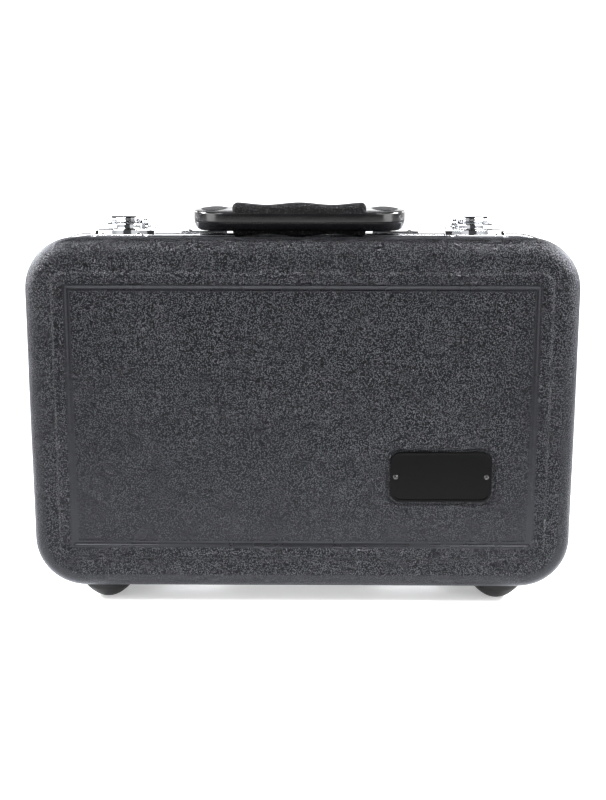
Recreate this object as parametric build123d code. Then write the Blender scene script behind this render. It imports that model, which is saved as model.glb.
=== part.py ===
from build123d import *
import os
from math import sin, cos, tan, radians, degrees, hypot, atan2

# Oboe case: two moulded shells with aluminium edge frames, hinged along the bottom,
# two draw latches and a folding handle on top, four rubber feet, padded inside.
# Millimetres. Origin: centre of the footprint, on the surface that the feet stand on.
# +X right, the lid and its badge face -Y, +Z up. The shells part in the plane y = 0.

# ---- driving dimensions ----
W_FACE = 330.0        # width where the side walls meet the face fillet
H_FACE = 212.0        # height there
HALF_T = 54.0         # depth of each shell, parting plane to face border
DRAFT = 2.0           # mould draft of the side walls, degrees
FACE_R = 10.0         # fillet round the face
PLAN_R = 31.0         # corner radius of the outline at the face fillet
WALL = 3.0            # shell wall
Z_MID = 118.2         # height of the outline's centre above the floor
FOOT_H = 11.7         # feet lift the shell by about this

VAL_OUT = 2.6         # edge frame stands proud of the shell's edge
VAL_IN = 6.5          # and reaches this far in
VAL_Y = 8.0           # its width on each side of the parting plane
GAP_Y = 0.1           # half of the gap between the two frames
TONGUE = 3.0          # lid frame's tongue enters the base frame's rebate

CREST_X, CREST_Z = 146.1, 85.3      # half sizes of the raised moulding's crest
CREST_H = 1.0                       # crest above the face border
PANEL_D = 0.8                       # panel below the face border
PANEL_X, PANEL_Z = 138.1, 77.4      # half sizes of the recessed panel

BADGE_X, BADGE_Z = 84.0, 82.6       # badge centre
BADGE_W, BADGE_H, BADGE_T = 61.4, 31.2, 1.2
RECESS_W, RECESS_H, RECESS_D = 65.4, 33.8, 1.0

HW_DX = -2.0          # the top hardware sits this far off the centre
LATCH_X = 109.4       # latch centres from the hardware's centre
LATCH_W = 18.5        # half width of the latch plates
HINGE_X, HINGE_W = 70.0, 44.0
HINGE_R, HINGE_PIN_R = 3.0, 1.5
FOOT_X, FOOT_Y, FOOT_R = 123.4, 29.0, 15.0
PLATE_T = 1.6         # latch and handle plates

LINING = 1.2          # plush cover
BASE_FACE_Y = 4.2     # surface of the base's lining
LID_FACE_Y = -7.8     # surface of the lid's lining

T = tan(radians(DRAFT))
HWP = W_FACE / 2 + (HALF_T - FACE_R) * T      # half width at the parting plane
HHP = H_FACE / 2 + (HALF_T - FACE_R) * T
RP = PLAN_R + (HALF_T - FACE_R) * T
ZV = Z_MID + HHP + VAL_OUT                    # top of the edge frames
ZB = Z_MID - HHP - VAL_OUT                    # bottom of the edge frames


def shell_top(y):
    return Z_MID + HHP - abs(y) * T


def shell_bottom(y):
    return Z_MID - HHP + abs(y) * T


def rr_plane(y, z=Z_MID, x=0.0, back=False):
    return Plane(origin=(x, y, z), x_dir=(1, 0, 0), z_dir=(0, 1 if back else -1, 0))


def rr(hw, hh, r, y0, y1, x=0.0, z=Z_MID, taper=0.0):
    """Rounded rectangle prism along Y, from y0 to y1, tapering inward if asked."""
    back = y1 > y0
    sk = rr_plane(y0, z, x, back) * RectangleRounded(2 * hw, 2 * hh, r)
    return extrude(sk, amount=abs(y1 - y0), taper=taper)


def outline(n, y0, y1, taper=0.0):
    return rr(HWP + n, HHP + n, RP + n, y0, y1, taper=taper)


def box(x0, x1, y0, y1, z0, z1):
    return Pos((x0 + x1) / 2, (y0 + y1) / 2, (z0 + z1) / 2) * Box(abs(x1 - x0), abs(y1 - y0), abs(z1 - z0))


def cyl(p0, p1, r):
    """Cylinder between two points along one of the axes."""
    v = Vector(*p1) - Vector(*p0)
    return extrude(Plane(origin=p0, z_dir=tuple(v.normalized())) * Circle(r), amount=v.length)


def prof_x(pts, x0, x1):
    """Closed (y, z) polygon extruded along X."""
    w = Polyline([(0, y, z) for y, z in pts], close=True)
    f = make_face(w)
    s = extrude(f, amount=abs(x1 - x0), dir=(1, 0, 0))
    return Pos(min(x0, x1), 0, 0) * s


def rivet(p, d, shank, head_r=2.4, head_h=1.2, r=1.5, tail=0.0):
    """Dome-headed rivet: p under the head, d the way its shank goes."""
    d = Vector(*d).normalized()
    pl = Plane(origin=p, z_dir=tuple(-d))
    s = extrude(Plane(origin=p, z_dir=tuple(d)) * Circle(r), amount=shank)
    h = extrude(pl * Circle(head_r), amount=head_h)
    h = fillet(h.edges().sort_by(lambda e: (e.center() - Vector(*p)).dot(-d))[-1], head_h * 0.85)
    return s + h


def save(obj, name):
    if isinstance(obj, (list, tuple)):
        obj = Compound(children=[o for o in obj])
    export_step(obj, "parts/%s.step" % name)


os.makedirs("parts", exist_ok=True)

# ---- shells ----
def moulded_shell(s, badge):
    """s = -1 the lid, towards -Y; s = +1 the base."""
    y = lambda a: s * a
    outer = outline(0, 0, y(HALF_T), taper=DRAFT)
    far = outer.faces().sort_by(Axis.Y)[0 if s < 0 else -1]
    outer = fillet(far.edges(), FACE_R)
    # raised moulding and recessed panel
    ring = rr(CREST_X + 1.9, CREST_Z + 1.9, 9.0, y(HALF_T - 1), y(HALF_T + CREST_H))
    f = ring.faces().sort_by(Axis.Y)[0 if s < 0 else -1]
    ring = chamfer(f.edges(), 0.95)
    solid = outer + ring
    solid -= rr(PANEL_X + 2.2, PANEL_Z + 2.2, 6.0, y(HALF_T + 2), y(HALF_T - 0.0))
    solid -= rr(PANEL_X, PANEL_Z, 4.0, y(HALF_T + 2), y(HALF_T - PANEL_D))
    inner = outline(-WALL, 0, y(HALF_T - WALL), taper=DRAFT)
    far = inner.faces().sort_by(Axis.Y)[0 if s < 0 else -1]
    inner = fillet(far.edges(), FACE_R - WALL)
    solid -= inner
    # the edge sits in the frame's channel
    solid -= box(-200, 200, y(-5), y(2.6), -20, 260)
    if badge:
        solid -= rr(RECESS_W / 2, RECESS_H / 2, 7.6, y(HALF_T + 1), y(HALF_T - PANEL_D - RECESS_D), BADGE_X, BADGE_Z)
    return solid


lid_shell = moulded_shell(-1, True)
base_shell = moulded_shell(1, False)

# ---- edge frames ----
def edge_frame(s):
    y = lambda a: s * a
    ring = outline(VAL_OUT, y(GAP_Y), y(VAL_Y))
    es = ring.faces().sort_by(Axis.Y)[0 if s < 0 else -1].edges()
    ring = fillet(es, 1.2)
    es = ring.faces().sort_by(Axis.Y)[-1 if s < 0 else 0].edges()
    ring = fillet(es, 0.5)
    ring -= outline(-VAL_IN, y(-1), y(VAL_Y + 1))
    chan = outline(0.1, y(2.5), y(VAL_Y + 1)) - outline(-3.5, y(2), y(VAL_Y + 2))
    return ring - chan


lid_valance = edge_frame(-1)
lid_valance += outline(-4.3, -1.0, TONGUE) - outline(-VAL_IN, -2.0, TONGUE + 1)
base_valance = edge_frame(1)
base_valance -= outline(-3.9, -1.0, TONGUE + 0.5)

# ---- padding and lining ----
# The padding is cut blocks of foam on a floor pad, and the plush lining is one skin over them.
def trough_pts(zc, hw, c, y_floor, y_top):
    """Trough section (y, z) with bevelled floor corners, opening towards -Y."""
    return [(y_top, zc - hw), (y_floor - c, zc - hw), (y_floor, zc - hw + c), (y_floor, zc + hw - c), (y_floor - c, zc + hw), (y_top, zc + hw)]


def face_x(x, pts):
    return make_face(Polyline([(x, y, z) for y, z in pts], close=True))


def trough(x0, x1, zc, hw0, hw1, c, y_floor, y_top, g=0.0):
    """A cavity between x0 and x1; g grows it by the lining's thickness."""
    cg = c + 0.59 * g
    if hw0 == hw1:
        return prof_x(trough_pts(zc, hw0 + g, cg, y_floor + g, y_top), x0 - g, x1 + g)
    return loft([face_x(x0 - g, trough_pts(zc, hw0 + g, cg, y_floor + g, y_top)), face_x(x1 + g, trough_pts(zc, hw1 + g, cg, y_floor + g, y_top))], ruled=True)


FLOOR = 42.8
UPPER = dict(x0=-136, x1=122, zc=Z_MID + 64, hw0=17.0, hw1=17.0, c=8.0, y_floor=38.0)    # upper joint
LOWER = dict(x0=-142, x1=142, zc=Z_MID + 14, hw0=20.0, hw1=20.0, c=9.0, y_floor=FLOOR)   # lower joint
BELL = dict(x0=-148, x1=-4, zc=Z_MID - 55, hw0=28.0, hw1=19.0, c=9.0, y_floor=FLOOR)     # bell
PX0, PX1, PZ0, PZ1 = 14.0, 148.0, Z_MID - 87.0, Z_MID - 24.0                             # pocket for small things
PAD_Y = FLOOR + LINING                                                                   # foam floor pad starts here
g = LINING


def cavities(g):
    yt = BASE_FACE_Y - 2
    c = [trough(y_top=yt, g=g, **d) for d in (UPPER, LOWER, BELL)]
    c.append(rr((PX1 - PX0) / 2 + g, (PZ1 - PZ0) / 2 + g, 5 + g, yt, FLOOR + g, (PX0 + PX1) / 2, (PZ0 + PZ1) / 2))
    return c


yb0 = BASE_FACE_Y + LINING
inside = outline(-VAL_IN - 0.5, yb0, PAD_Y)
FX, FZ0, FZ1 = 200.0, 0.0, 240.0
z_u0, z_u1 = UPPER["zc"] - UPPER["hw0"] - g, UPPER["zc"] + UPPER["hw0"] + g
z_l0, z_l1 = LOWER["zc"] - LOWER["hw0"] - g, LOWER["zc"] + LOWER["hw0"] + g
z_p0, z_p1 = PZ0 - g, PZ1 + g
bz = BELL["zc"]
blocks = [
    box(-FX, FX, yb0, PAD_Y, z_u1, FZ1),                       # top rail
    box(-FX, FX, yb0, PAD_Y, z_l1, z_u0),                      # between the joints
    box(-FX, FX, yb0, PAD_Y, z_p1, z_l0),                      # above bell and pocket
    box(-FX, FX, yb0, PAD_Y, FZ0, z_p0),                       # bottom rail
    box(-FX, UPPER["x0"] - g, yb0, PAD_Y, z_u0, z_u1),
    box(UPPER["x1"] + g, FX, yb0, PAD_Y, z_u0, z_u1),
    box(-FX, LOWER["x0"] - g, yb0, PAD_Y, z_l0, z_l1),
    box(LOWER["x1"] + g, FX, yb0, PAD_Y, z_l0, z_l1),
    box(-FX, BELL["x0"] - g, yb0, PAD_Y, z_p0, z_p1),
    box(BELL["x1"] + g, PX0 - g, yb0, PAD_Y, z_p0, z_p1),      # post between bell and pocket
    box(PX1 + g, FX, yb0, PAD_Y, z_p0, z_p1),
    box(UPPER["x0"] - g, UPPER["x1"] + g, UPPER["y_floor"] + g, PAD_Y, z_u0, z_u1),   # pad under the upper joint
]


def prof_y(pts, y0, y1):
    """Closed (x, z) polygon extruded along Y."""
    f = make_face(Polyline([(x, y0, z) for x, z in pts], close=True))
    return extrude(f, amount=y1 - y0, dir=(0, 1, 0))


xa, xb = BELL["x0"] - g, BELL["x1"] + g
ha, hb = BELL["hw0"] + g, BELL["hw1"] + g
blocks.append(prof_y([(xa, bz + ha), (xb, bz + hb), (xb, z_p1), (xa, z_p1)], yb0, PAD_Y))
blocks.append(prof_y([(xa, z_p0), (xb, z_p0), (xb, bz - hb), (xa, bz - ha)], yb0, PAD_Y))
# fillet strips along the trough floors
for d in (UPPER, LOWER, BELL):
    cg = d["c"] + 0.59 * g
    yf = d["y_floor"] + g
    for e in (-1, 1):
        tri = lambda x, hw: face_x(x, [(yf - cg, d["zc"] + e * hw), (yf, d["zc"] + e * hw), (yf, d["zc"] + e * (hw - cg))])
        if d["hw0"] == d["hw1"]:
            blocks.append(extrude(tri(d["x0"] - g, d["hw0"] + g), amount=d["x1"] - d["x0"] + 2 * g, dir=(1, 0, 0)))
        else:
            blocks.append(loft([tri(d["x0"] - g, d["hw0"] + g), tri(d["x1"] + g, d["hw1"] + g)], ruled=True))
blocks = [b & inside for b in blocks]
base_foam_blocks = []
for b in blocks:
    base_foam_blocks += list(b.solids())
base_foam_floor = outline(-VAL_IN - 6.0, PAD_Y, HALF_T - WALL)
base_slab = outline(-VAL_IN - 0.5, BASE_FACE_Y, BASE_FACE_Y + LINING)
base_lining = base_slab
trim = box(-200, 200, -50, BASE_FACE_Y + 0.5, 0, 300)
for c in cavities(g):
    base_lining += c - trim
for c in cavities(0.0):
    base_lining -= c

LR = (145.0, 86.0, 6.0, -34.0)      # hollow in the lid's padding: half sizes, radius, floor
lid_out = rr(LR[0] + LINING, LR[1] + LINING, LR[2] + LINING, LID_FACE_Y, LR[3] - LINING)
lid_in = rr(LR[0], LR[1], LR[2], LID_FACE_Y + 2, LR[3])
lid_slab = outline(-VAL_IN - 0.5, LID_FACE_Y, LID_FACE_Y - LINING)
lid_lining = (lid_slab + lid_out) - lid_in
yl0, yl1 = LID_FACE_Y - LINING, LR[3] - LINING
lid_inside = outline(-VAL_IN - 0.5, yl0, yl1)
lx, lz = LR[0] + LINING, LR[1] + LINING
lid_foam_rails = []
for b in (box(-FX, FX, yl1, yl0, Z_MID + lz, FZ1), box(-FX, FX, yl1, yl0, FZ0, Z_MID - lz),
          box(-FX, -lx, yl1, yl0, Z_MID - lz, Z_MID + lz), box(lx, FX, yl1, yl0, Z_MID - lz, Z_MID + lz)):
    lid_foam_rails += list((b & lid_inside).solids())
lid_foam_floor = outline(-VAL_IN - 0.5, yl1, -44.0) + outline(-VAL_IN - 6.0, -44.0, -(HALF_T - WALL))

# ---- badge ----
y_panel = -(HALF_T - PANEL_D)
y_floor = y_panel + RECESS_D
badge_plate = rr(BADGE_W / 2, BADGE_H / 2, 6.6, y_floor, y_floor - BADGE_T, BADGE_X, BADGE_Z)
f = badge_plate.faces().sort_by(Axis.Y)[0]
badge_plate = fillet(f.edges(), 0.5)
badge_rivets = []
for dx in (-27.4, 27.4):
    p = (BADGE_X + dx, y_floor - BADGE_T, BADGE_Z)
    badge_rivets.append(rivet(p, (0, 1, 0), BADGE_T + WALL - PANEL_D - RECESS_D, 1.6, 0.8, 0.9))
for r_ in badge_rivets:
    badge_plate -= r_
    lid_shell -= r_

# ---- feet ----
feet, foot_screws = {}, {}
for sx, nx in ((-1, "left"), (1, "right")):
    for sy, ny in ((-1, "front"), (1, "rear")):
        zt = shell_bottom(FOOT_Y + 15)
        with BuildPart() as bp:
            with BuildSketch(Plane.XZ):
                with BuildLine():
                    l1 = Line((2.8, 0), (4.6, 0))
                    l2 = ThreePointArc((4.6, 0), (10.2, 3.1), (15.0, 8.0))
                    l3 = Line((15.0, 8.0), (15.0, zt + 0.5))
                    l4 = Line((15.0, zt + 0.5), (1.8, zt + 0.5))
                    l5 = Line((1.8, zt + 0.5), (1.8, 6.0))
                    l6 = Line((1.8, 6.0), (2.8, 6.0))
                    l7 = Line((2.8, 6.0), (2.8, 0))
                make_face()
            revolve(axis=Axis.Z)
        foot = Pos(sx * FOOT_X, sy * FOOT_Y, 0) * bp.part
        # seated on the drafted bottom wall
        wall = outline(0, 0, sy * HALF_T, taper=DRAFT)
        foot = foot - wall
        feet["foot_%s_%s" % (ny, nx)] = foot
        zs = shell_bottom(FOOT_Y) + WALL
        scr = cyl((sx * FOOT_X, sy * FOOT_Y, 6.0), (sx * FOOT_X, sy * FOOT_Y, zs + 1.0), 1.8)
        scr += cyl((sx * FOOT_X, sy * FOOT_Y, 4.4), (sx * FOOT_X, sy * FOOT_Y, 6.0), 2.7)
        foot_screws.setdefault("lid" if sy < 0 else "base", []).append(scr)
for s_ in foot_screws["lid"]:
    lid_shell -= s_
for s_ in foot_screws["base"]:
    base_shell -= s_

# ---- joggled plates: on the frame, then down onto the shell ----
def joggle(x0, x1, s, y_end, t, top=True, y_start=0.3):
    if top:
        zf, zs, u = ZV, shell_top, 1
    else:
        zf, zs, u = ZB, shell_bottom, -1
    pts = [(s * y_start, zf), (s * (VAL_Y + 0.3), zf), (s * (VAL_Y + 1.6), zs(VAL_Y + 1.6)), (s * y_end, zs(y_end)),
           (s * y_end, zs(y_end) + u * t), (s * (VAL_Y + 2.2), zs(VAL_Y + 2.2) + u * t), (s * (VAL_Y + 0.9), zf + u * t), (s * y_start, zf + u * t)]
    return prof_x(pts, x0, x1)


def round_plan(plate, x0, x1, y0, y1, r, corners_y):
    """Rounds the plan corners of a plate at the end corners_y."""
    keep = extrude(Plane.XY * Pos((x0 + x1) / 2, (y0 + y1) / 2) * RectangleRounded(abs(x1 - x0), abs(y1 - y0), r), amount=300)
    return plate & keep


# ---- hinges ----
HINGE_Z = ZB - HINGE_R - 0.15
nodes = {}
for sx, nx in ((-1, "left"), (1, "right")):
    xc = sx * HINGE_X
    x0, x1 = xc - HINGE_W / 2, xc + HINGE_W / 2
    seg = HINGE_W / 5
    for s, nm in ((1, "base"), (-1, "lid")):
        leaf = joggle(x0, x1, s, 26.0, 1.4, top=False, y_start=3.5)
        leaf = round_plan(leaf, x0, x1, s * -10, s * 26.0, 4.0, 26)
        for i in range(5):
            if (i % 2 == 0) == (s == 1):
                a, b = x0 + i * seg + 0.12, x0 + (i + 1) * seg - 0.12
                leaf += cyl((a, 0, HINGE_Z), (b, 0, HINGE_Z), HINGE_R)
                leaf += box(a, b, 0, s * 4.2, ZB - 1.4, ZB)
        leaf -= cyl((x0 - 2, 0, HINGE_Z), (x1 + 2, 0, HINGE_Z), HINGE_PIN_R + (0.0 if s == 1 else 0.06))
        rv = []
        for dx in (-15, 15):
            for yy in (14.0, 21.0):
                zz = shell_bottom(yy) - 1.4
                rv.append(rivet((xc + dx, s * yy, zz), (0, 0, 1), 1.4 + WALL + 0.6, 2.3, 0.9, 1.4))
        for r_ in rv:
            leaf -= r_
            if s == 1:
                base_shell -= r_
            else:
                lid_shell -= r_
        nodes["hinge_%s_%s_leaf" % (nx, nm)] = leaf
        nodes["hinge_%s_%s_rivets" % (nx, nm)] = rv
    nodes["hinge_%s_pin" % nx] = cyl((x0 - 0.6, 0, HINGE_Z), (x1 + 0.6, 0, HINGE_Z), HINGE_PIN_R)

# ---- latches ----
P_Y, P_Z = 8.0, ZV + 6.2        # lever pivot
Q_Y, Q_Z = 15.0, ZV + 5.9       # hook pivot on the lever
LIP_Z = ZV + 6.1                # top of the catch's lip
NOSE_R = 2.0
NOSE_Y, NOSE_Z = -11.6, LIP_Z + 0.3 + NOSE_R
for sx, nx in ((-1, "left"), (1, "right")):
    xc = HW_DX + sx * LATCH_X
    X = lambda a: xc + a
    # base plate with two ears
    plate = joggle(X(-LATCH_W), X(LATCH_W), 1, 36.0, PLATE_T)
    plate = round_plan(plate, X(-LATCH_W), X(LATCH_W), -10, 36.0, 5.0, 36)
    for e in (-1, 1):
        a, b = X(e * 9.0), X(e * 10.2)
        ear = cyl((min(a, b), P_Y, P_Z), (max(a, b), P_Y, P_Z), 3.3)
        ear += box(a, b, P_Y - 3.3, P_Y + 0.7, ZV + 0.4, P_Z)
        plate += ear
    stubs = []
    for e in (-1, 1):
        a, b, c, d = [X(e * v) for v in (8.4, 9.0, 11.9, 12.7)]
        st = cyl((a, P_Y, P_Z), (b, P_Y, P_Z), 2.1) + cyl((b, P_Y, P_Z), (c, P_Y, P_Z), 1.25) + cyl((c, P_Y, P_Z), (d, P_Y, P_Z), 2.3)
        stubs.append(st)
        plate -= cyl((b, P_Y, P_Z), (c, P_Y, P_Z), 1.25)
    # lever: two cheeks and a finger plate behind the hook's pivot
    lever_top = P_Z + 3.3
    cheek_pts = [(P_Y - 1.0, P_Z - 3.14), (P_Y + 10, ZV + 2.6), (32.0, ZV + 1.0), (37.0, ZV + 2.4), (39.5, ZV + 6.4),
                 (37.5, lever_top), (P_Y, lever_top)]
    lever = None
    for e in (-1, 1):
        a, b = X(e * 10.6), X(e * 11.8)
        ck = prof_x(cheek_pts, a, b) + cyl((min(a, b), P_Y, P_Z), (max(a, b), P_Y, P_Z), 3.3)
        lever = ck if lever is None else lever + ck
    top_pts = [(P_Y + 11.3, lever_top - 1.2), (35.6, lever_top - 1.2), (38.2, ZV + 4.6), (40.4, ZV + 5.6), (37.6, lever_top), (P_Y + 11.3, lever_top)]
    lever += prof_x(top_pts, X(-11.8), X(11.8))
    lever -= cyl((X(-14), P_Y, P_Z), (X(14), P_Y, P_Z), 1.31)
    lever -= cyl((X(-14), Q_Y, Q_Z), (X(14), Q_Y, Q_Z), 1.25)
    hook_pin = cyl((X(-12.2), Q_Y, Q_Z), (X(12.2), Q_Y, Q_Z), 1.25)
    hook_pin += cyl((X(-12.6), Q_Y, Q_Z), (X(-11.8), Q_Y, Q_Z), 1.9)
    hook_pin += cyl((X(11.8), Q_Y, Q_Z), (X(12.6), Q_Y, Q_Z), 1.9)
    # hook: eye on the pin, flat link forward, rolled nose over the catch
    zl = LIP_Z + 0.6
    hook = cyl((X(-7.6), Q_Y, Q_Z), (X(7.6), Q_Y, Q_Z), 2.7)
    hook += prof_x([(Q_Y, zl), (NOSE_Y, zl), (NOSE_Y, zl + 1.6), (Q_Y, zl + 1.6)], X(-7.6), X(7.6))
    hook += cyl((X(-7.9), NOSE_Y, NOSE_Z), (X(7.9), NOSE_Y, NOSE_Z), NOSE_R)
    hook -= cyl((X(-14), Q_Y, Q_Z), (X(14), Q_Y, Q_Z), 1.31)
    # catch on the lid
    catch = joggle(X(-LATCH_W), X(LATCH_W), -1, 27.0, PLATE_T)
    catch = round_plan(catch, X(-LATCH_W), X(LATCH_W), 10, -27.0, 5.0, -27)
    hump = [(-4.2, ZV + 0.8), (-8.4, ZV + 3.6), (-9.8, LIP_Z), (-12.6, LIP_Z), (-13.6, ZV + 4.2), (-18.2, ZV - 0.6), (-18.2, ZV - 2.6), (-9.0, ZV - 1.0), (-8.6, ZV + 0.8)]
    catch += prof_x(hump, X(-10), X(10))
    skirt = [(-3.4, ZV + 0.8), (-7.2, ZV + 2.8), (-13.2, ZV + 2.8), (-20.0, ZV - 1.4), (-20.0, ZV - 2.8), (-9.0, ZV - 1.0), (-8.6, ZV + 0.8)]
    catch += prof_x(skirt, X(-14.5), X(14.5))
    br, cr = [], []
    for e in (-1, 1):
        for yy in (15.0, 30.0):
            br.append(rivet((X(e * 15.0), yy, shell_top(yy) + PLATE_T), (0, 0, -1), PLATE_T + WALL + 0.6, 2.1, 1.0, 1.3))
        cr.append(rivet((X(e * 11.0), -23.4, shell_top(23.4) + PLATE_T), (0, 0, -1), PLATE_T + WALL + 0.6, 2.1, 1.0, 1.3))
    for r_ in br:
        plate -= r_
        base_shell -= r_
    for r_ in cr:
        catch -= r_
        lid_shell -= r_
    nodes["latch_%s_base" % nx] = plate
    nodes["latch_%s_pivots" % nx] = stubs
    nodes["latch_%s_lever" % nx] = lever
    nodes["latch_%s_hook" % nx] = hook
    nodes["latch_%s_hook_pin" % nx] = hook_pin
    nodes["latch_%s_catch" % nx] = catch
    nodes["latch_%s_base_rivets" % nx] = br
    nodes["latch_%s_catch_rivets" % nx] = cr

# ---- handle ----
H_Y, H_Z = 8.0, ZV + 10.9      # pivot
TILT = 5.4                     # lies forward, nose down
HH, GRIP_H = 65.3, 40.3        # half widths of the handle and of the grip
ARM_IN = 38.0                  # inner side of the arms
EAR_X, EAR_T = 54.0, 3.0
loc = Pos(HW_DX, H_Y, H_Z) * Rot(TILT, 0, 0)

def plan(z0, z1, g=0.0):
    """The handle's U-shaped plan, its ends rounded, as a slab."""
    s = box(-(HH - g), HH - g, -41.5 + g, 7 - g, z0, z1)
    s = fillet([e for e in s.edges().filter_by(Axis.Z) if e.center().Y < -30], 20.0 - g)
    s = fillet([e for e in s.edges().filter_by(Axis.Z) if e.center().Y > 0], 11.0 - g)
    s -= Pos(0, 0, (z0 + z1) / 2) * box(-ARM_IN - g, ARM_IN + g, -25.0 - g, 20, -30, 30)
    return s


def outline_edges(s, z):
    return [e for e in s.edges() if abs(e.center().Z - z) < 1e-3 and abs(e.bounding_box().size.Z) < 1e-3]


upper = plan(0, 6.3)
upper = fillet([e for e in outline_edges(upper, 6.3)], 1.7)
lower = plan(-5.8, 0)
lower = fillet([e for e in outline_edges(lower, -5.8)], 3.4)
slot = None
for e in (-1, 1):
    b = box(e * (EAR_X - EAR_T / 2 - 0.25), e * (EAR_X + EAR_T / 2 + 0.25), -4.6, 12, -9, 4.9)
    slot = b if slot is None else slot + b
upper -= slot
lower -= slot
hp = []
for e in (-1, 1):
    a, b = sorted((e * 47.0, e * 61.0))
    hp.append(cyl((a, 0, 0), (b, 0, 0), 1.5))
for p in hp:
    upper -= p
    lower -= p
hs = []
for e in (-1, 1):
    for (xx, yy) in ((44.0, -33.0), (43.5, -6.0)):
        z0 = -5.8
        s_ = cyl((e * xx, yy, z0 + 0.4), (e * xx, yy, z0 + 2.0), 2.2) + cyl((e * xx, yy, z0 + 2.0), (e * xx, yy, 3.6), 1.1)
        hs.append(s_)
        lower -= cyl((e * xx, yy, -8), (e * xx, yy, z0 + 2.0), 2.2)
        lower -= s_
        upper -= s_
# soft grip wrapped round the bar: waves over the fingers
def grip_body():
    n = 24
    top, bot = [], []
    for i in range(n + 1):
        x = -GRIP_H + 2 * GRIP_H * i / n
        u = x / GRIP_H
        top.append((x, 9.4 + 0.7 * cos(u * 2 * 3.14159265 * 1.0)))
        bot.append((x, -9.0 - 0.9 * cos(u * 2 * 3.14159265 * 1.0)))
    sp1 = Spline([Vector(x, 0, z) for x, z in top])
    sp2 = Spline([Vector(x, 0, z) for x, z in bot])
    l1 = Line((-GRIP_H, 0, top[0][1]), (-GRIP_H, 0, bot[0][1]))
    l2 = Line((GRIP_H, 0, top[-1][1]), (GRIP_H, 0, bot[-1][1]))
    f = make_face([sp1, l2, sp2, l1])
    g = extrude(f, amount=19.3, dir=(0, -1, 0))
    return Pos(0, -21.0, 0) * g


grip = grip_body()
try:
    grip = fillet([e for e in grip.edges() if e.length > 70 or abs(e.bounding_box().size.Z) > 10], 2.5)
except Exception:
    print("grip fillet left off")
grip -= plan(-5.8, 6.3)
pads = []
for e in (-1, 1):
    pd = extrude(Plane.XY.offset(6.3) * Pos(e * 52.6, -16.6) * Ellipse(8.3, 16.8), amount=0.7)
    pd = fillet(pd.edges().sort_by(Axis.Z)[-1], 0.5)
    pads.append(pd)
nodes["handle_frame_upper"] = loc * upper
nodes["handle_frame_lower"] = loc * lower
nodes["handle_grip"] = loc * grip
nodes["handle_end_pads"] = [loc * p for p in pads]
nodes["handle_pins"] = [loc * p for p in hp]
nodes["handle_screws"] = [loc * s_ for s_ in hs]
for sx, nx in ((-1, "left"), (1, "right")):
    xi, xo = HW_DX + sx * 46.0, HW_DX + sx * 75.8
    xe = HW_DX + sx * EAR_X
    pl = joggle(xi, xo, 1, 24.0, PLATE_T)
    pl = round_plan(pl, xi, xo, -10, 24.0, 3.0, 24)
    ear = cyl((xe - EAR_T / 2, H_Y, H_Z), (xe + EAR_T / 2, H_Y, H_Z), 3.4)
    ear += box(xe - EAR_T / 2, xe + EAR_T / 2, H_Y - 3.2, H_Y + 3.2, ZV + 0.5, H_Z)
    ear += box(xe - EAR_T / 2, xe + EAR_T / 2, H_Y - 3.2, H_Y + 0.3, ZV + 0.2, ZV + 1.0)
    pl += ear
    pl -= cyl((xe - 3, H_Y, H_Z), (xe + 3, H_Y, H_Z), 1.56)
    rv = [rivet((HW_DX + sx * xx, 18.6, shell_top(18.6) + PLATE_T), (0, 0, -1), PLATE_T + WALL + 0.6, 2.3, 1.1, 1.5) for xx in (51.0, 70.0)]
    rv.append(rivet((HW_DX + sx * 70.6, 4.2, ZV + PLATE_T), (0, 0, -1), PLATE_T + 1.8, 2.3, 1.1, 1.5))
    for r_ in rv:
        pl -= r_
        base_shell -= r_
        base_valance -= r_
    nodes["handle_bracket_%s" % nx] = pl
    nodes["handle_bracket_%s_rivets" % nx] = rv

# ---- files ----
for name, obj in [("lid_shell", lid_shell), ("base_shell", base_shell), ("lid_valance", lid_valance),
                  ("base_valance", base_valance), ("lid_foam_floor", lid_foam_floor), ("lid_foam_rails", lid_foam_rails), ("lid_lining", lid_lining),
                  ("base_foam_floor", base_foam_floor), ("base_foam_blocks", base_foam_blocks), ("base_lining", base_lining), ("badge_plate", badge_plate),
                  ("badge_rivets", badge_rivets), ("foot_screws_lid", foot_screws["lid"]), ("foot_screws_base", foot_screws["base"])]:
    save(obj, name)
for name, obj in feet.items():
    save(obj, name)
for name, obj in nodes.items():
    save(obj, name)
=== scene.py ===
import bpy
import bmesh
import numpy as np
from math import sin, cos, tan, acos, pi, radians, sqrt, hypot, atan2, exp
from mathutils import Vector, Matrix
from mathutils.geometry import tessellate_polygon, delaunay_2d_cdt


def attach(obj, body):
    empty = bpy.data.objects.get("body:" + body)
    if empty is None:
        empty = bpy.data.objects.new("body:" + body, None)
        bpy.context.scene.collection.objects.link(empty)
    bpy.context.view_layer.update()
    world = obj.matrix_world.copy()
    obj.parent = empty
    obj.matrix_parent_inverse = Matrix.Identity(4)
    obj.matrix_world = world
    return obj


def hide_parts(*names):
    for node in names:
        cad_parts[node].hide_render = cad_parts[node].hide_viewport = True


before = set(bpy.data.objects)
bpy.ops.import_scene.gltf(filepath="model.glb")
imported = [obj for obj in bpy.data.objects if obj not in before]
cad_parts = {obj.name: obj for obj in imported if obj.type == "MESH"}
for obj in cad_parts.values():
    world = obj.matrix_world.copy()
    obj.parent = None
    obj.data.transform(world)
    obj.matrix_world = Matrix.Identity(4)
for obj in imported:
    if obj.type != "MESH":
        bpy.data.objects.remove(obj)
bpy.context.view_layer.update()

MM = 0.001

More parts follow.
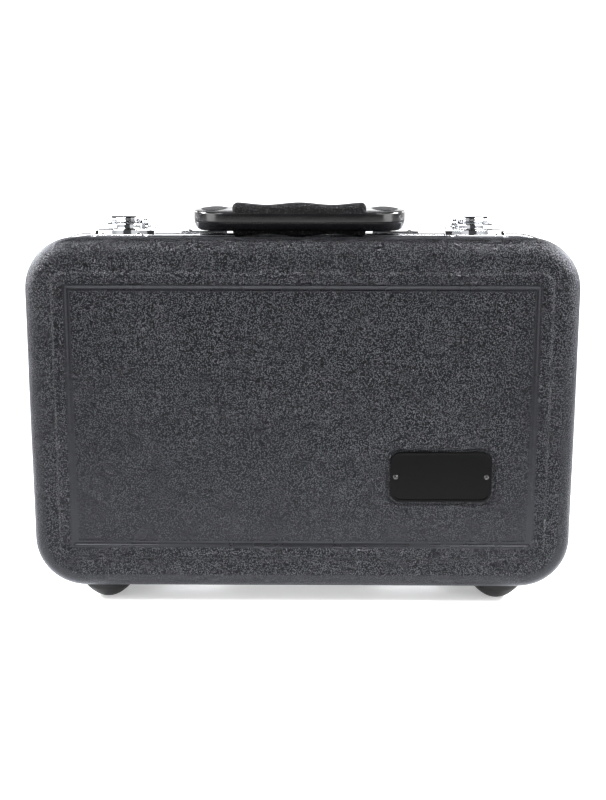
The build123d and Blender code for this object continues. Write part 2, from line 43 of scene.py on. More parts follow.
# ---- the case's driving dimensions, in millimetres, as in the CAD ----
HALF_T, DRAFT, FACE_R, WALL, Z_MID = 54.0, 2.0, 10.0, 3.0, 118.2
T = tan(radians(DRAFT))
T_TOP, T_BOT = tan(radians(0.35)), tan(radians(1.2))
HWP, HHP, RP = 165.0 + 44 * T, 106.0 + 44 * T, 31.0 + 44 * T
VAL_OUT, VAL_IN, VAL_Y, GAP_Y = 2.6, 6.5, 8.0, 0.1
ZV, ZB = Z_MID + HHP + VAL_OUT, Z_MID - HHP - VAL_OUT
CREST_X, CREST_Z = 146.1, 85.3
PANEL_Y = HALF_T - 0.8
BADGE_X, BADGE_Z = 84.0, 82.6
HW_DX, LATCH_X, LATCH_W, HINGE_X, HINGE_W = -2.0, 109.4, 18.5, 70.0, 44.0
PLATE_T = 1.6
BASE_FACE_Y, LID_FACE_Y = 4.2, -7.8
P_Y, P_Z = 8.0, ZV + 6.2
Q_Y, Q_Z = 15.0, ZV + 5.9
LIP_Z = ZV + 6.1
NOSE_R, NOSE_Y, NOSE_Z = 2.0, -11.6, ZV + 8.4
H_Y, H_Z, TILT = 8.0, ZV + 10.9, 5.4
HALF_HANDLE = 65.3
HINGE_Z = ZB - 3.15


def shell_top(y):
    return Z_MID + HHP - abs(y) * T_TOP


def shell_bottom(y):
    return Z_MID - HHP + abs(y) * T_BOT


# =====================================================================
# mesh helpers
# =====================================================================
def new_obj(name, verts, faces, body, angle=40, weighted=True, grain=None):
    me = bpy.data.meshes.new(name)
    me.from_pydata([(v[0] * MM, v[1] * MM, v[2] * MM) for v in verts], [], faces)
    me.update()
    if grain:
        at = me.attributes.new("grain", "FLOAT", "POINT")
        at.data.foreach_set("value", [float(grain(*v)) for v in verts])
    o = bpy.data.objects.new(name, me)
    bpy.context.scene.collection.objects.link(o)
    clean(o)
    shade(o, angle, weighted)
    if body:
        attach(o, body)
    return o


def clean(o):
    bm = bmesh.new()
    bm.from_mesh(o.data)
    bmesh.ops.remove_doubles(bm, verts=bm.verts, dist=2e-7)
    bmesh.ops.dissolve_degenerate(bm, edges=bm.edges, dist=1e-8)
    bmesh.ops.recalc_face_normals(bm, faces=bm.faces)
    bm.to_mesh(o.data)
    bm.free()
    o.data.validate(verbose=False)


def shade(o, angle=40, weighted=True):
    for p in o.data.polygons:
        p.use_smooth = True
    o.data.set_sharp_from_angle(angle=radians(angle))
    if weighted:
        m = o.modifiers.new("wn", "WEIGHTED_NORMAL")
        m.keep_sharp = True
        m.weight = 60
    return o


def bevel(o, width, segments=3, angle=30):
    """Rounds a piece's sharp edges: the bevel is worked into its mesh."""
    bm = bmesh.new()
    bm.from_mesh(o.data)
    es = [e for e in bm.edges if len(e.link_faces) == 2 and e.calc_face_angle(0) > radians(angle)]
    bmesh.ops.bevel(bm, geom=es, offset=width * MM, offset_type="OFFSET", segments=segments, profile=0.5, affect="EDGES", clamp_overlap=True)
    bmesh.ops.remove_doubles(bm, verts=bm.verts, dist=1e-7)
    bm.to_mesh(o.data)
    bm.free()
    for p in o.data.polygons:
        p.use_smooth = True
    o.data.set_sharp_from_angle(angle=radians(42))
    return o


def carve(o, verts, faces, op="DIFFERENCE"):
    """Cuts a closed shape out of a piece, or joins it on."""
    me = bpy.data.meshes.new("tool")
    me.from_pydata([(v[0] * MM, v[1] * MM, v[2] * MM) for v in verts], [], faces)
    c = bpy.data.objects.new("tool", me)
    bpy.context.scene.collection.objects.link(c)
    clean(c)
    m = o.modifiers.new("bool", "BOOLEAN")
    m.operation, m.solver, m.object = op, "EXACT", c
    while o.modifiers.find("bool") > 0:
        o.modifiers.move(o.modifiers.find("bool"), 0)
    others = [x for x in o.modifiers if x != m]
    for x in others:
        x.show_viewport = False
    dg = bpy.context.evaluated_depsgraph_get()
    new = bpy.data.meshes.new_from_object(o.evaluated_get(dg))
    for x in others:
        x.show_viewport = True
    o.modifiers.remove(m)
    old = o.data
    o.data = new
    bpy.data.meshes.remove(old)
    bpy.data.objects.remove(c)
    bpy.data.meshes.remove(me)
    return o


def round_poly(pts, n=5, closed=True):
    """Corners (u, v, r), each turned into an arc of n + 1 points."""
    out, m = [], len(pts)
    for i, (u, v, r) in enumerate(pts):
        if not closed and i in (0, m - 1):
            out.append((u, v))
            continue
        a, b = pts[i - 1], pts[(i + 1) % m]
        d1, d2 = Vector((a[0] - u, a[1] - v)), Vector((b[0] - u, b[1] - v))
        l1, l2 = d1.length, d2.length
        d1.normalize(), d2.normalize()
        ang = acos(max(-1.0, min(1.0, d1.dot(d2))))
        if r <= 0 or ang > pi - 0.02:
            out += [(u, v)] * (n + 1)
            continue
        t = min(r / tan(ang / 2), 0.49 * l1, 0.49 * l2)
        r = t * tan(ang / 2)
        c = Vector((u, v)) + (d1 + d2).normalized() * (r / sin(ang / 2))
        s, e = Vector((u, v)) + d1 * t - c, Vector((u, v)) + d2 * t - c
        a1, a2 = atan2(s.y, s.x), atan2(e.y, e.x)
        da = (a2 - a1 + pi) % (2 * pi) - pi
        out += [(c.x + r * cos(a1 + da * k / n), c.y + r * sin(a1 + da * k / n)) for k in range(n + 1)]
    return out


def ring(hw, hh, r, y, nc=10, x=0.0, z=Z_MID):
    """Closed rounded rectangle in a plane y = const: 4 corners of nc + 1 points."""
    r = max(0.05, min(r, hw - 0.01, hh - 0.01))
    pts = []
    for cx, cz, a0 in ((hw - r, hh - r, 0), (-hw + r, hh - r, 90), (-hw + r, -hh + r, 180), (hw - r, -hh + r, 270)):
        for i in range(nc + 1):
            a = radians(a0 + 90.0 * i / nc)
            pts.append((x + cx + r * cos(a), y, z + cz + r * sin(a)))
    return pts


def out_ring(n, y, nc=10):
    a, b = min(abs(y), 44.0) * (T - T_TOP), min(abs(y), 44.0) * (T - T_BOT)
    return ring(HWP + n, HHP + n + (a + b) / 2, RP + n, y, nc, z=Z_MID + (a - b) / 2)


def loft(rings, close_loop=False, cap0=False, cap1=False):
    """Quads between successive closed rings of equal length, with filled ends if asked."""
    n, m = len(rings[0]), len(rings)
    verts = [tuple(p) for r_ in rings for p in r_]
    faces = []
    for k in range(m if close_loop else m - 1):
        a, b = k * n, ((k + 1) % m) * n
        for i in range(n):
            j = (i + 1) % n
            faces.append((a + i, a + j, b + j, b + i))
    for on, base in ((cap0, 0), (cap1, (m - 1) * n)):
        if on:
            for t in tessellate_polygon([[Vector(p) for p in rings[base // n]]]):
                faces.append(tuple(base + i for i in t))
    return verts, faces


def fill_between(loops):
    """Triangles in a plane y = const that fill the first loop, with the other loops as holes."""
    tris = tessellate_polygon([[Vector((p[0], p[2], 0)) for p in lp] for lp in loops])
    return [p for lp in loops for p in lp], [tuple(t) for t in tris]


def merge(*parts):
    verts, faces = [], []
    for v, f in parts:
        b = len(verts)
        verts += list(v)
        faces += [tuple(i + b for i in q) for q in f]
    return verts, faces


def move(part, fn):
    return [fn(p) for p in part[0]], part[1]


def prism_x(pts, x0, x1):
    """Closed (y, z) polygon from x0 to x1."""
    n = len(pts)
    v = [(x0, y, z) for y, z in pts] + [(x1, y, z) for y, z in pts]
    f = [tuple(range(n)), tuple(range(2 * n - 1, n - 1, -1))]
    f += [(i, (i + 1) % n, n + (i + 1) % n, n + i) for i in range(n)]
    return v, f


def block(x0, x1, y0, y1, z0, z1):
    return prism_x([(y0, z0), (y1, z0), (y1, z1), (y0, z1)], x0, x1)


def lathe(profile, origin, axis, n=40):
    """Profile of (radius, height) turned about an axis through origin. Radius 0 closes to a point."""
    ax = Vector(axis).normalized()
    u = ax.orthogonal().normalized()
    w = ax.cross(u)
    o = Vector(origin)
    verts, faces, rows = [], [], []
    for r_, h in profile:
        if r_ < 1e-6:
            verts.append(tuple(o + ax * h))
            rows.append([len(verts) - 1])
        else:
            row = []
            for i in range(n):
                a = 2 * pi * i / n
                verts.append(tuple(o + ax * h + (u * cos(a) + w * sin(a)) * r_))
                row.append(len(verts) - 1)
            rows.append(row)
    for a, b in zip(rows, rows[1:]):
        if len(a) == 1 and len(b) == 1:
            continue
        for i in range(n):
            j = (i + 1) % n
            if len(a) == 1:
                faces.append((a[0], b[j], b[i]))
            elif len(b) == 1:
                faces.append((a[i], a[j], b[0]))
            else:
                faces.append((a[i], a[j], b[j], b[i]))
    return verts, faces


def dome(r, h, k=8):
    return [(0, h)] + [(r * sin(i / k * pi / 2), h * cos(i / k * pi / 2)) for i in range(1, k)] + [(r, h * 0.12)]


def rivet_mesh(p, d, head_r=2.4, head_h=1.2, tail=1.0, tail_r=1.4, n=28):
    """Domed rivet head seated at p; d is the way the shank goes."""
    prof = dome(head_r, head_h) + [(head_r, 0.0), (head_r - 0.08, -0.06), (tail_r, -0.06), (tail_r, -tail), (0, -tail)]
    return lathe(prof, p, [-c for c in d], n)


def rod_x(x0, x1, y, z, r, b=0.25, n=32, hole=0.0):
    """Rod along X with rounded ends, or a sleeve if it has a hole."""
    prof = [(hole, 0.0)] if hole else [(0, 0.0)]
    L = x1 - x0
    if hole:
        prof = [(hole, b * 0.5), (hole + b * 0.4, 0.0)]
    prof += [(r - b, 0.0)] + [(r - b + b * sin(a), b - b * cos(a)) for a in (pi / 6, pi / 3, pi / 2)]
    prof += [(r - b + b * sin(a), L - b + b * cos(a)) for a in (pi / 2, pi / 3, pi / 6)] + [(r - b, L)]
    prof += [(hole + b * 0.4, L), (hole, L - b * 0.5), (hole, b * 0.5)] if hole else [(0, L)]
    return lathe(prof, (x0, y, z), (1, 0, 0), n)


def path_frame(path):
    """Arc lengths, points and left-hand normals along a (y, z) path."""
    P = [Vector(p) for p in path]
    keep = [P[0]]
    for p in P[1:]:
        if (p - keep[-1]).length > 1e-4:
            keep.append(p)
    P = keep
    S = [0.0]
    for a, b in zip(P, P[1:]):
        S.append(S[-1] + (b - a).length)
    D = [(b - a).normalized() for a, b in zip(P, P[1:])]
    N = []
    for i in range(len(P)):
        a, b = D[max(0, i - 1)], D[min(len(D) - 1, i)]
        t = (a + b).normalized()
        c = max(0.5, t.dot(a))
        N.append(Vector((-t.y, t.x)) / c)
    return S, P, N


def sheet_metal(outline, t, path, er=0.25, seg=3, side=1):
    """A flat sheet with the outline (x, s), its rims rounded, bent along a (y, z) path. s runs along the path and the
    thickness stands on its left, or on its right if side is -1."""
    S, P, N = path_frame(path)
    bm = bmesh.new()
    lo = [bm.verts.new((x, s, 0)) for x, s in outline]
    hi = [bm.verts.new((x, s, t)) for x, s in outline]
    bm.faces.new(lo[::-1])
    bm.faces.new(hi)
    n = len(outline)
    for i in range(n):
        j = (i + 1) % n
        bm.faces.new((lo[i], lo[j], hi[j], hi[i]))
    bmesh.ops.remove_doubles(bm, verts=bm.verts, dist=1e-4)
    if er > 0:
        rim = [e for e in bm.edges if abs(e.verts[0].co.z - e.verts[1].co.z) < 1e-6]
        bmesh.ops.bevel(bm, geom=rim, offset=er, offset_type="OFFSET", segments=seg, profile=0.5, affect="EDGES", clamp_overlap=True)
    for s in S[1:-1]:
        bmesh.ops.bisect_plane(bm, geom=bm.verts[:] + bm.edges[:] + bm.faces[:], plane_co=(0, s, 0), plane_no=(0, 1, 0), dist=1e-5)
    bmesh.ops.recalc_face_normals(bm, faces=bm.faces)
    bm.verts.index_update()
    verts = []
    for v in bm.verts:
        x, s, h = v.co
        k = 0
        while k < len(S) - 2 and s > S[k + 1]:
            k += 1
        f = (s - S[k]) / (S[k + 1] - S[k])
        d = (P[k + 1] - P[k])
        pos = P[k] + d * f
        if f < 0 or f > 1:
            nn = Vector((-d.y, d.x)).normalized()
        else:
            nn = N[k] * (1 - f) + N[k + 1] * f
        pos = pos + nn * h * side
        verts.append((x, pos.x, pos.y))
    faces = [tuple(v.index for v in f.verts) for f in bm.faces]
    bm.free()
    return verts, faces


def shift_x(part, dx, flip=False):
    s = -1 if flip else 1
    return [(dx + s * x, y, z) for x, y, z in part[0]], part[1]


# =====================================================================
# materials
# =====================================================================
class Mat:
    def __init__(self, name):
        self.m = bpy.data.materials.new(name)
        self.m.use_nodes = True
        self.t = self.m.node_tree
        self.t.nodes.clear()
        self.out = self.add("ShaderNodeOutputMaterial")
        self.b = self.add("ShaderNodeBsdfPrincipled")
        self.link(self.b, "BSDF", self.out, "Surface")
        self.co = self.add("ShaderNodeTexCoord")

    def add(self, kind, **kw):
        n = self.t.nodes.new(kind)
        for k, v in kw.items():
            setattr(n, k, v)
        return n

    def link(self, a, ao, b, bi):
        self.t.links.new(a.outputs[ao], b.inputs[bi])

    def set(self, **kw):
        for k, v in kw.items():
            self.b.inputs[k.replace("_", " ")].default_value = v
        return self

    def noise(self, scale, detail=4, rough=0.5, src=None, dist=0.0):
        n = self.add("ShaderNodeTexNoise")
        n.inputs["Scale"].default_value = scale
        n.inputs["Detail"].default_value = detail
        n.inputs["Roughness"].default_value = rough
        n.inputs["Distortion"].default_value = dist
        self.t.links.new(src or self.co.outputs["Object"], n.inputs["Vector"])
        return n

    def voronoi(self, scale, feature="F1", src=None, rnd=1.0, smooth=None):
        n = self.add("ShaderNodeTexVoronoi", feature=feature)
        n.inputs["Scale"].default_value = scale
        n.inputs["Randomness"].default_value = rnd
        if smooth is not None:
            n.inputs["Smoothness"].default_value = smooth
        self.t.links.new(src or self.co.outputs["Object"], n.inputs["Vector"])
        return n

    def ramp(self, src, stops):
        n = self.add("ShaderNodeValToRGB")
        e = n.color_ramp.elements
        while len(e) > 1:
            e.remove(e[-1])
        for i, (p, c) in enumerate(stops):
            c = (c, c, c, 1) if isinstance(c, (int, float)) else (*c, 1)
            el = e[0] if i == 0 else e.new(p)
            el.position = p
            el.color = c
        self.t.links.new(src, n.inputs["Fac"])
        return n

    def math(self, op, a, b=None, clamp=False):
        n = self.add("ShaderNodeMath", operation=op)
        n.use_clamp = clamp
        for i, v in enumerate((a, b)):
            if v is None:
                continue
            if isinstance(v, (int, float)):
                n.inputs[i].default_value = v
            else:
                self.t.links.new(v, n.inputs[i])
        return n.outputs[0]

    def mix(self, fac, a, b):
        n = self.add("ShaderNodeMix", data_type="RGBA")
        for i, v in ((0, fac), (6, a), (7, b)):
            if isinstance(v, (int, float)):
                n.inputs[i].default_value = v
            elif isinstance(v, tuple):
                n.inputs[i].default_value = (*v, 1)
            else:
                self.t.links.new(v, n.inputs[i])
        return n.outputs[2]

    def bump(self, height, dist, strength=1.0, normal=None):
        n = self.add("ShaderNodeBump")
        n.inputs["Distance"].default_value = dist
        n.inputs["Strength"].default_value = strength
        self.t.links.new(height, n.inputs["Height"])
        if normal is not None:
            self.t.links.new(normal, n.inputs["Normal"])
        return n.outputs["Normal"]

    def normal(self, sock):
        self.t.links.new(sock, self.b.inputs["Normal"])

    def color(self, sock):
        self.t.links.new(sock, self.b.inputs["Base Color"])

    def rough(self, sock):
        self.t.links.new(sock, self.b.inputs["Roughness"])


def mat_shell():
    """Moulded plastic with a pebbled haircell grain: paler tips over dark valleys. The tips' pale tone is partly the
    grain's own and partly painted glints; the valleys' lost gloss is painted shade. There is less grain where the
    moulding drew smooth, and towards the bottom.
    """
    m = Mat("shell_haircell")
    m.set(IOR=1.48, Specular_IOR_Level=0.5)
    m.b.inputs["Specular Tint"].default_value = (0.90, 0.92, 1.0, 1)
    grain = m.add("ShaderNodeAttribute", attribute_name="grain").outputs["Fac"]
    warp = m.noise(420, 2, 0.5)
    vadd = m.add("ShaderNodeVectorMath", operation="MULTIPLY_ADD")
    m.link(warp, "Color", vadd, 0)
    vadd.inputs[1].default_value = (0.0011, 0.0011, 0.0011)
    m.link(m.co, "Object", vadd, 2)
    w = vadd.outputs[0]
    cell = m.voronoi(1250, "F1", w, 1.0)
    mid = m.noise(1950, 2, 0.6, w)
    h = m.math("ADD", m.math("MULTIPLY", cell.outputs["Distance"], -1.0), m.math("MULTIPLY", mid.outputs["Fac"], 0.9))
    m.normal(m.bump(m.math("MULTIPLY", h, grain), 0.00034, 1.0))
    tips = m.ramp(m.math("ADD", h, 0.5), [(0.42, 0.0), (0.55, 0.30), (0.66, 1.0)])
    tips.color_ramp.interpolation = "EASE"
    big = m.noise(9, 4, 0.6)
    f = m.math("MULTIPLY", tips.outputs["Color"], grain)
    f = m.math("ADD", f, m.math("MULTIPLY", m.math("SUBTRACT", 1.0, grain), 0.27))
    f = m.math("MULTIPLY", f, m.math("ADD", m.math("MULTIPLY", big.outputs["Fac"], 0.4), 0.8))
    # painted glints: the pale tips are made bright enough to stand in for the grain's sparkle, over its real tone
    m.color(m.mix(f, (0.0008, 0.0008, 0.0010), (0.0228, 0.0233, 0.0264)))
    m.t.links.new(m.math("MULTIPLY", m.math("SUBTRACT", 1.0, f, clamp=True), 0.80), m.b.inputs["Metallic"])      # painted shade: the valleys lose their gloss, standing in for the grain's own shadow in its hollows
    lw = m.add("ShaderNodeLayerWeight")
    lw.inputs["Blend"].default_value = 0.5
    edge = m.math("MULTIPLY", m.math("POWER", lw.outputs["Facing"], 3.0), 0.16)
    m.rough(m.math("ADD", m.ramp(m.noise(40, 5, 0.6).outputs["Fac"], [(0.3, 0.25), (0.75, 0.31)]).outputs["Color"], edge))
    return m.m


def mat_metal(name, base, r0, r1, scale, bump=0.00001, stretch=(1, 1, 1)):
    m = Mat(name)
    m.set(Metallic=1.0)
    mp = m.add("ShaderNodeMapping")
    mp.inputs["Scale"].default_value = stretch
    m.link(m.co, "Object", mp, "Vector")
    n = m.noise(scale, 4, 0.6, mp.outputs[0])
    blot = m.noise(60, 3, 0.5)
    m.color(m.mix(blot.outputs["Fac"], tuple(c * 0.93 for c in base), tuple(min(1, c * 1.05) for c in base)))
    m.rough(m.ramp(n.outputs["Fac"], [(0.3, r0), (0.75, r1)]).outputs["Color"])
    m.normal(m.bump(n.outputs["Fac"], bump, 1.0))
    return m.m


def mat_plain(name, base, r0, r1, grain=1200, depth=0.00003, spread=0.12, **kw):
    """Moulded plastic or rubber: fine grain, slight tone change, uneven gloss."""
    m = Mat(name)
    m.set(**kw)
    n = m.noise(grain, 3, 0.55)
    blot = m.noise(70, 4, 0.55)
    m.color(m.mix(blot.outputs["Fac"], tuple(c * (1 - spread) for c in base), tuple(c * (1 + spread) for c in base)))
    m.rough(m.ramp(blot.outputs["Fac"], [(0.3, r0), (0.7, r1)]).outputs["Color"])
    m.normal(m.bump(n.outputs["Fac"], depth, 1.0))
    return m.m


def mat_pebble(name, dark, light, scale=950, depth=0.0004, r0=0.5, r1=0.66, spec=0.15):
    """Soft rubber with a pebbled texture."""
    m = Mat(name)
    m.set(IOR=1.45, Specular_IOR_Level=spec)
    v = m.voronoi(scale, "SMOOTH_F1", None, 1.0, 0.4)
    n = m.noise(scale * 0.55, 3, 0.6)
    h = m.math("ADD", m.math("MULTIPLY", v.outputs["Distance"], -0.9), m.math("MULTIPLY", n.outputs["Fac"], 0.5))
    m.normal(m.bump(h, depth, 1.0))
    tips = m.ramp(m.math("ADD", h, 0.5), [(0.36, 0.0), (0.48, 0.30), (0.60, 1.0)])
    m.color(m.mix(tips.outputs["Color"], dark, light))
    m.rough(m.ramp(n.outputs["Fac"], [(0.3, r0), (0.7, r1)]).outputs["Color"])
    return m.m


def mat_plush(name="plush", a=(0.008, 0.008, 0.0095), b=(0.021, 0.021, 0.0245)):
    """Short-pile plush: soft mottled nap with sheen."""
    m = Mat(name)
    m.set(Roughness=0.95, Sheen_Weight=0.5, Sheen_Roughness=0.45, Specular_IOR_Level=0.12)
    m.b.inputs["Sheen Tint"].default_value = (0.5, 0.51, 0.56, 1)
    nap = m.noise(2400, 3, 0.7)
    drift = m.noise(55, 4, 0.65, None, 0.6)
    strok = m.noise(14, 3, 0.55, None, 1.2)
    f = m.math("ADD", m.math("MULTIPLY", drift.outputs["Fac"], 0.5), m.math("MULTIPLY", strok.outputs["Fac"], 0.5))
    f2 = m.ramp(f, [(0.36, 0.0), (0.64, 1.0)])
    c = m.mix(f2.outputs["Color"], a, b)
    c = m.mix(m.math("MULTIPLY", nap.outputs["Fac"], 0.55), c, tuple(x * 2.2 for x in b))
    m.color(c)
    h = m.math("ADD", nap.outputs["Fac"], m.math("MULTIPLY", drift.outputs["Fac"], 1.5))
    m.normal(m.bump(h, 0.00035, 1.0))
    return m.m


M_SHELL = mat_shell()
M_CHROME = mat_metal("chrome_plate", (0.84, 0.85, 0.87), 0.03, 0.09, 900, bump=0.000003)
M_ALU = mat_metal("edge_aluminium", (0.70, 0.71, 0.73), 0.20, 0.34, 700, bump=0.00001, stretch=(0.03, 1, 0.03))
M_STEEL = mat_metal("rivet_steel", (0.68, 0.68, 0.69), 0.14, 0.28, 1500, bump=0.000008)
M_HANDLE = mat_plain("handle_plastic", (0.0018, 0.0018, 0.0022), 0.16, 0.23, 900, 0.000008, IOR=1.5, Specular_IOR_Level=0.58)
M_FOOT = mat_plain("foot_rubber", (0.005, 0.005, 0.0056), 0.42, 0.58, 1400, 0.00004, IOR=1.5, Specular_IOR_Level=0.16)
M_BADGE = mat_plain("badge_gloss", (0.0012, 0.0012, 0.0013), 0.08, 0.14, 300, 0.000002, IOR=1.45, Specular_IOR_Level=0.07)
M_GRIP = mat_pebble("grip_pebble", (0.0006, 0.0006, 0.0008), (0.024, 0.024, 0.027), 900, 0.0006)
M_PAD = mat_pebble("pad_pebble", (0.010, 0.010, 0.011), (0.090, 0.090, 0.094), 1000, 0.0004, 0.42, 0.55)
M_STUD = mat_plain("badge_stud", (0.004, 0.004, 0.004), 0.10, 0.16, 300, 0.000002, IOR=1.5)
M_PLUSH = mat_plush()


def dress(o, mat, slot, *nodes):
    o.data.materials.clear()
    o.data.materials.append(mat)
    if nodes:
        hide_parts(*nodes)
    return o


# =====================================================================
# shells
# =====================================================================
def moulding_profile():
    """(inward distance from the crest, height above the border) across the raised moulding."""
    return [(-3.2, 0.0), (-2.4, 0.005), (-2.15, 0.03), (-1.95, 0.09), (-1.75, 0.18), (-1.15, 0.53), (-0.55, 0.87), (-0.35, 0.95), (-0.15, 0.985), (0.1, 1.0), (0.4, 0.98), (0.8, 0.90),
            (4.9, 0.12), (5.3, 0.07), (5.6, 0.08), (5.9, 0.12), (6.15, 0.13), (6.4, 0.09), (6.65, -0.03), (6.95, -0.24), (7.25, -0.46), (7.55, -0.63), (7.85, -0.74), (8.2, -0.79), (8.5, -0.80),
            (8.75, -0.77), (9.0, -0.70), (9.2, -0.66), (9.4, -0.67), (9.7, -0.73), (10.0, -0.78), (10.4, -0.80), (11.2, -0.80)]


def shell_mesh(s, badge):
    NC = 16
    rings = []
    Y = lambda a: s * a
    for y in (2.7, 4.0, 8.0, 14.0, 22.0, 30.0, 38.0, 43.0):
        rings.append(out_ring(-y * T, Y(y), NC))
    cn = -44 * T - 10 * cos(radians(2)) - 10 * sin(radians(2)) * T
    for k in range(17):
        a = radians(2 + (90 - 2) * k / 16)
        rings.append(out_ring(cn + 10 * cos(a), Y(44 + 10 * sin(a)), NC))
    rings.append(out_ring(cn - 1.2, Y(54), NC))
    for d, h in moulding_profile():
        rings.append(ring(CREST_X - d, CREST_Z - d, max(1.0, 6.4 - d), Y(HALF_T + h), NC))
    parts = [loft(rings)]
    last = rings[-1]
    if badge:
        pocket = []
        for d, h in ((-1.5, 0.0), (-1.0, 0.03), (-0.6, 0.14), (-0.3, 0.34), (-0.1, 0.6), (0.0, 0.85), (0.1, 1.0)):
            pocket.append(ring(32.7 - d, 16.9 - d, 7.6 - d, Y(PANEL_Y - h), NC, BADGE_X, BADGE_Z))
        parts.append(fill_between([last, pocket[0]]))
        parts.append(loft(pocket))
        parts.append(fill_between([pocket[-1]]))
    else:
        parts.append(fill_between([last]))
    inner = []
    for y in (2.7, 12.0, 30.0, 43.9):
        inner.append(out_ring(-WALL - y * T, Y(y), NC))
    for k in range(1, 9):
        a = radians(90 * k / 8)
        inner.append(out_ring(-WALL - 44 * T - 7 + 7 * cos(a), Y(44 + 7 * sin(a)), NC))
    parts.append(loft(inner))
    parts.append(fill_between([inner[-1]]))
    parts.append(loft([rings[0], inner[0]]))
    return merge(*parts)


def shell_grain_and_painted_light(x, y, z):
    """How strongly the grain shows: drawn smooth over the inner step of the moulding and along the lower rounded edges,
    faded further towards the bottom as painted light, and raised on the crest as a painted highlight that pales it.
    """
    qx, qz = abs(x) - (CREST_X - 6.4), abs(z - Z_MID) - (CREST_Z - 6.4)
    d = 6.4 - (hypot(max(qx, 0), max(qz, 0)) + min(max(qx, qz), 0))      # inwards from the crest
    g = 1.0
    if abs(y) > 50:
        g -= 0.88 * max(0.0, min(1.0, (2.5 - abs(d - 7.5)) / 0.8))
        g = max(g, 0.12)
        g += 0.75 * max(0.0, 1 - abs(d + 0.7) / 1.5)      # painted highlight: the crest is painted paler where it catches the light
    if abs(y) < HALF_T - 0.02:
        c = min(abs(x) - (HWP - RP), abs(z - Z_MID) - (HHP - RP)) / 12.0
        # the rounded corners draw the grain smooth; lower down, here and in the next line, it fades further into a
        # flat, darker, less glossy tone, painted to stand in for the floor's soft fill light on the lower part
        g *= 1 - (0.18 + 0.44 * max(0.0, min(1.0, (170 - z) / 60.0))) * max(0.0, min(1.0, c + 0.35))
        g *= 1 - 0.6 * max(0.0, min(1.0, (95 - z) / 70.0))
    return g


lid_shell = new_obj("lid_shell_moulding", *shell_mesh(-1, True), "lid", grain=shell_grain_and_painted_light)
base_shell = new_obj("base_shell_moulding", *shell_mesh(1, False), "base", grain=shell_grain_and_painted_light)
dress(lid_shell, M_SHELL, "shell_plastic", "lid_shell")
dress(base_shell, M_SHELL, "shell_plastic", "base_shell")


# ---- edge frames: extrusion swept round the outline ----
def frame_mesh(s):
    NC = 24
    Y = lambda a: s * a
    if s < 0:      # tongue
        sec = [(-VAL_IN, GAP_Y + 0.4), (-VAL_IN + 0.4, GAP_Y), (-VAL_IN + 0.35, -3.0 + 0.3), (-6.0, -3.0), (-4.8, -3.0), (-4.35, -2.7), (-4.3, GAP_Y)]
    else:          # rebate for the tongue
        sec = [(-VAL_IN, 3.9), (-VAL_IN + 0.3, 3.5), (-3.9, 3.5), (-3.9, 0.4), (-3.6, GAP_Y)]
    sec += [(1.9, GAP_Y), (2.25, 0.22), (2.48, 0.5), (2.5, 1.0), (2.5, 2.2), (2.30, 2.55), (2.22, 2.9), (2.30, 3.25), (2.5, 3.6), (2.58, 4.2), (2.6, 5.2), (2.56, 6.2), (2.36, 7.0), (1.95, 7.6), (1.3, 7.95), (0.7, 8.0),
            (0.28, 7.92), (0.1, 7.7), (0.1, 2.6), (-3.5, 2.6), (-3.5, 7.7), (-3.8, 8.0), (-6.1, 8.0), (-VAL_IN, 7.6)]
    return loft([out_ring(n, Y(y), NC) for n, y in sec], close_loop=True)


for s, body in ((-1, "lid"), (1, "base")):
    o = new_obj(body + "_edge_frame", *frame_mesh(s), body)
    dress(o, M_ALU, "edge_aluminium", body + "_valance")

# =====================================================================
# badge: a bare glossy plate with a fine raised rim
# =====================================================================
yb = -(PANEL_Y - 1.0)
rings = []
for d, h in ((0.35, 0.0), (0.0, 0.15), (0.0, 0.72), (0.07, 0.93), (0.24, 1.1), (0.55, 1.19), (0.8, 1.2), (1.25, 1.2), (1.5, 1.16), (1.75, 1.08), (2.1, 1.06)):
    rings.append(ring(30.7 - d, 15.6 - d, 6.6 - d, yb - h, 14, BADGE_X, BADGE_Z))
v, f = merge(loft(rings), fill_between([rings[-1]]), fill_between([rings[0]]))
dress(new_obj("badge", v, f, "lid"), M_BADGE, "badge_gloss", "badge_plate")
parts = [rivet_mesh((BADGE_X + dx, yb - 1.1, BADGE_Z), (0, 1, 0), 1.6, 0.85, 1.0, 0.9) for dx in (-27.4, 27.4)]
dress(new_obj("badge_rivet_heads", *merge(*parts), "lid"), M_STUD, "badge_gloss", "badge_rivets")

# =====================================================================
# feet
# =====================================================================
foot_prof = [(0.0, 6.0), (2.5, 6.0), (2.8, 5.7), (2.8, 0.35), (3.0, 0.08), (3.4, 0.0), (4.4, 0.0), (4.9, 0.06), (6.4, 0.7), (8.0, 1.62), (9.6, 2.68), (11.2, 3.98), (12.8, 5.5), (14.0, 6.82), (14.6, 7.6),
             (14.9, 8.2), (15.0, 8.8), (15.0, 12.2), (0.0, 12.2)]
for sx, nx in ((-1, "left"), (1, "right")):
    for sy, ny, body in ((-1, "front", "lid"), (1, "rear", "base")):
        v, f = lathe(foot_prof, (sx * 123.4, sy * 29.0, 0), (0, 0, 1), 64)
        v = [(x, y, min(z, shell_bottom(y) + 0.05) if z > 9 else z) for x, y, z in v]
        dress(new_obj("foot_%s_%s_rubber" % (ny, nx), v, f, body), M_FOOT, "foot_rubber", "foot_%s_%s" % (ny, nx))


# =====================================================================
# latches
# =====================================================================
def joggle_path(s, y_end, top=True, y_start=0.3, r=1.2):
    """Underside of a plate that lies on the edge frame, then steps onto the shell, as (y, z)."""
    if top:
        zf, zs = ZV, shell_top
    else:
        zf, zs = ZB, shell_bottom
    return round_poly([(s * y_start, zf, 0), (s * (VAL_Y + 0.4), zf, r), (s * (VAL_Y + 2.3), zs(VAL_Y + 2.3), r), (s * y_end, zs(y_end), 0)], 4, closed=False)


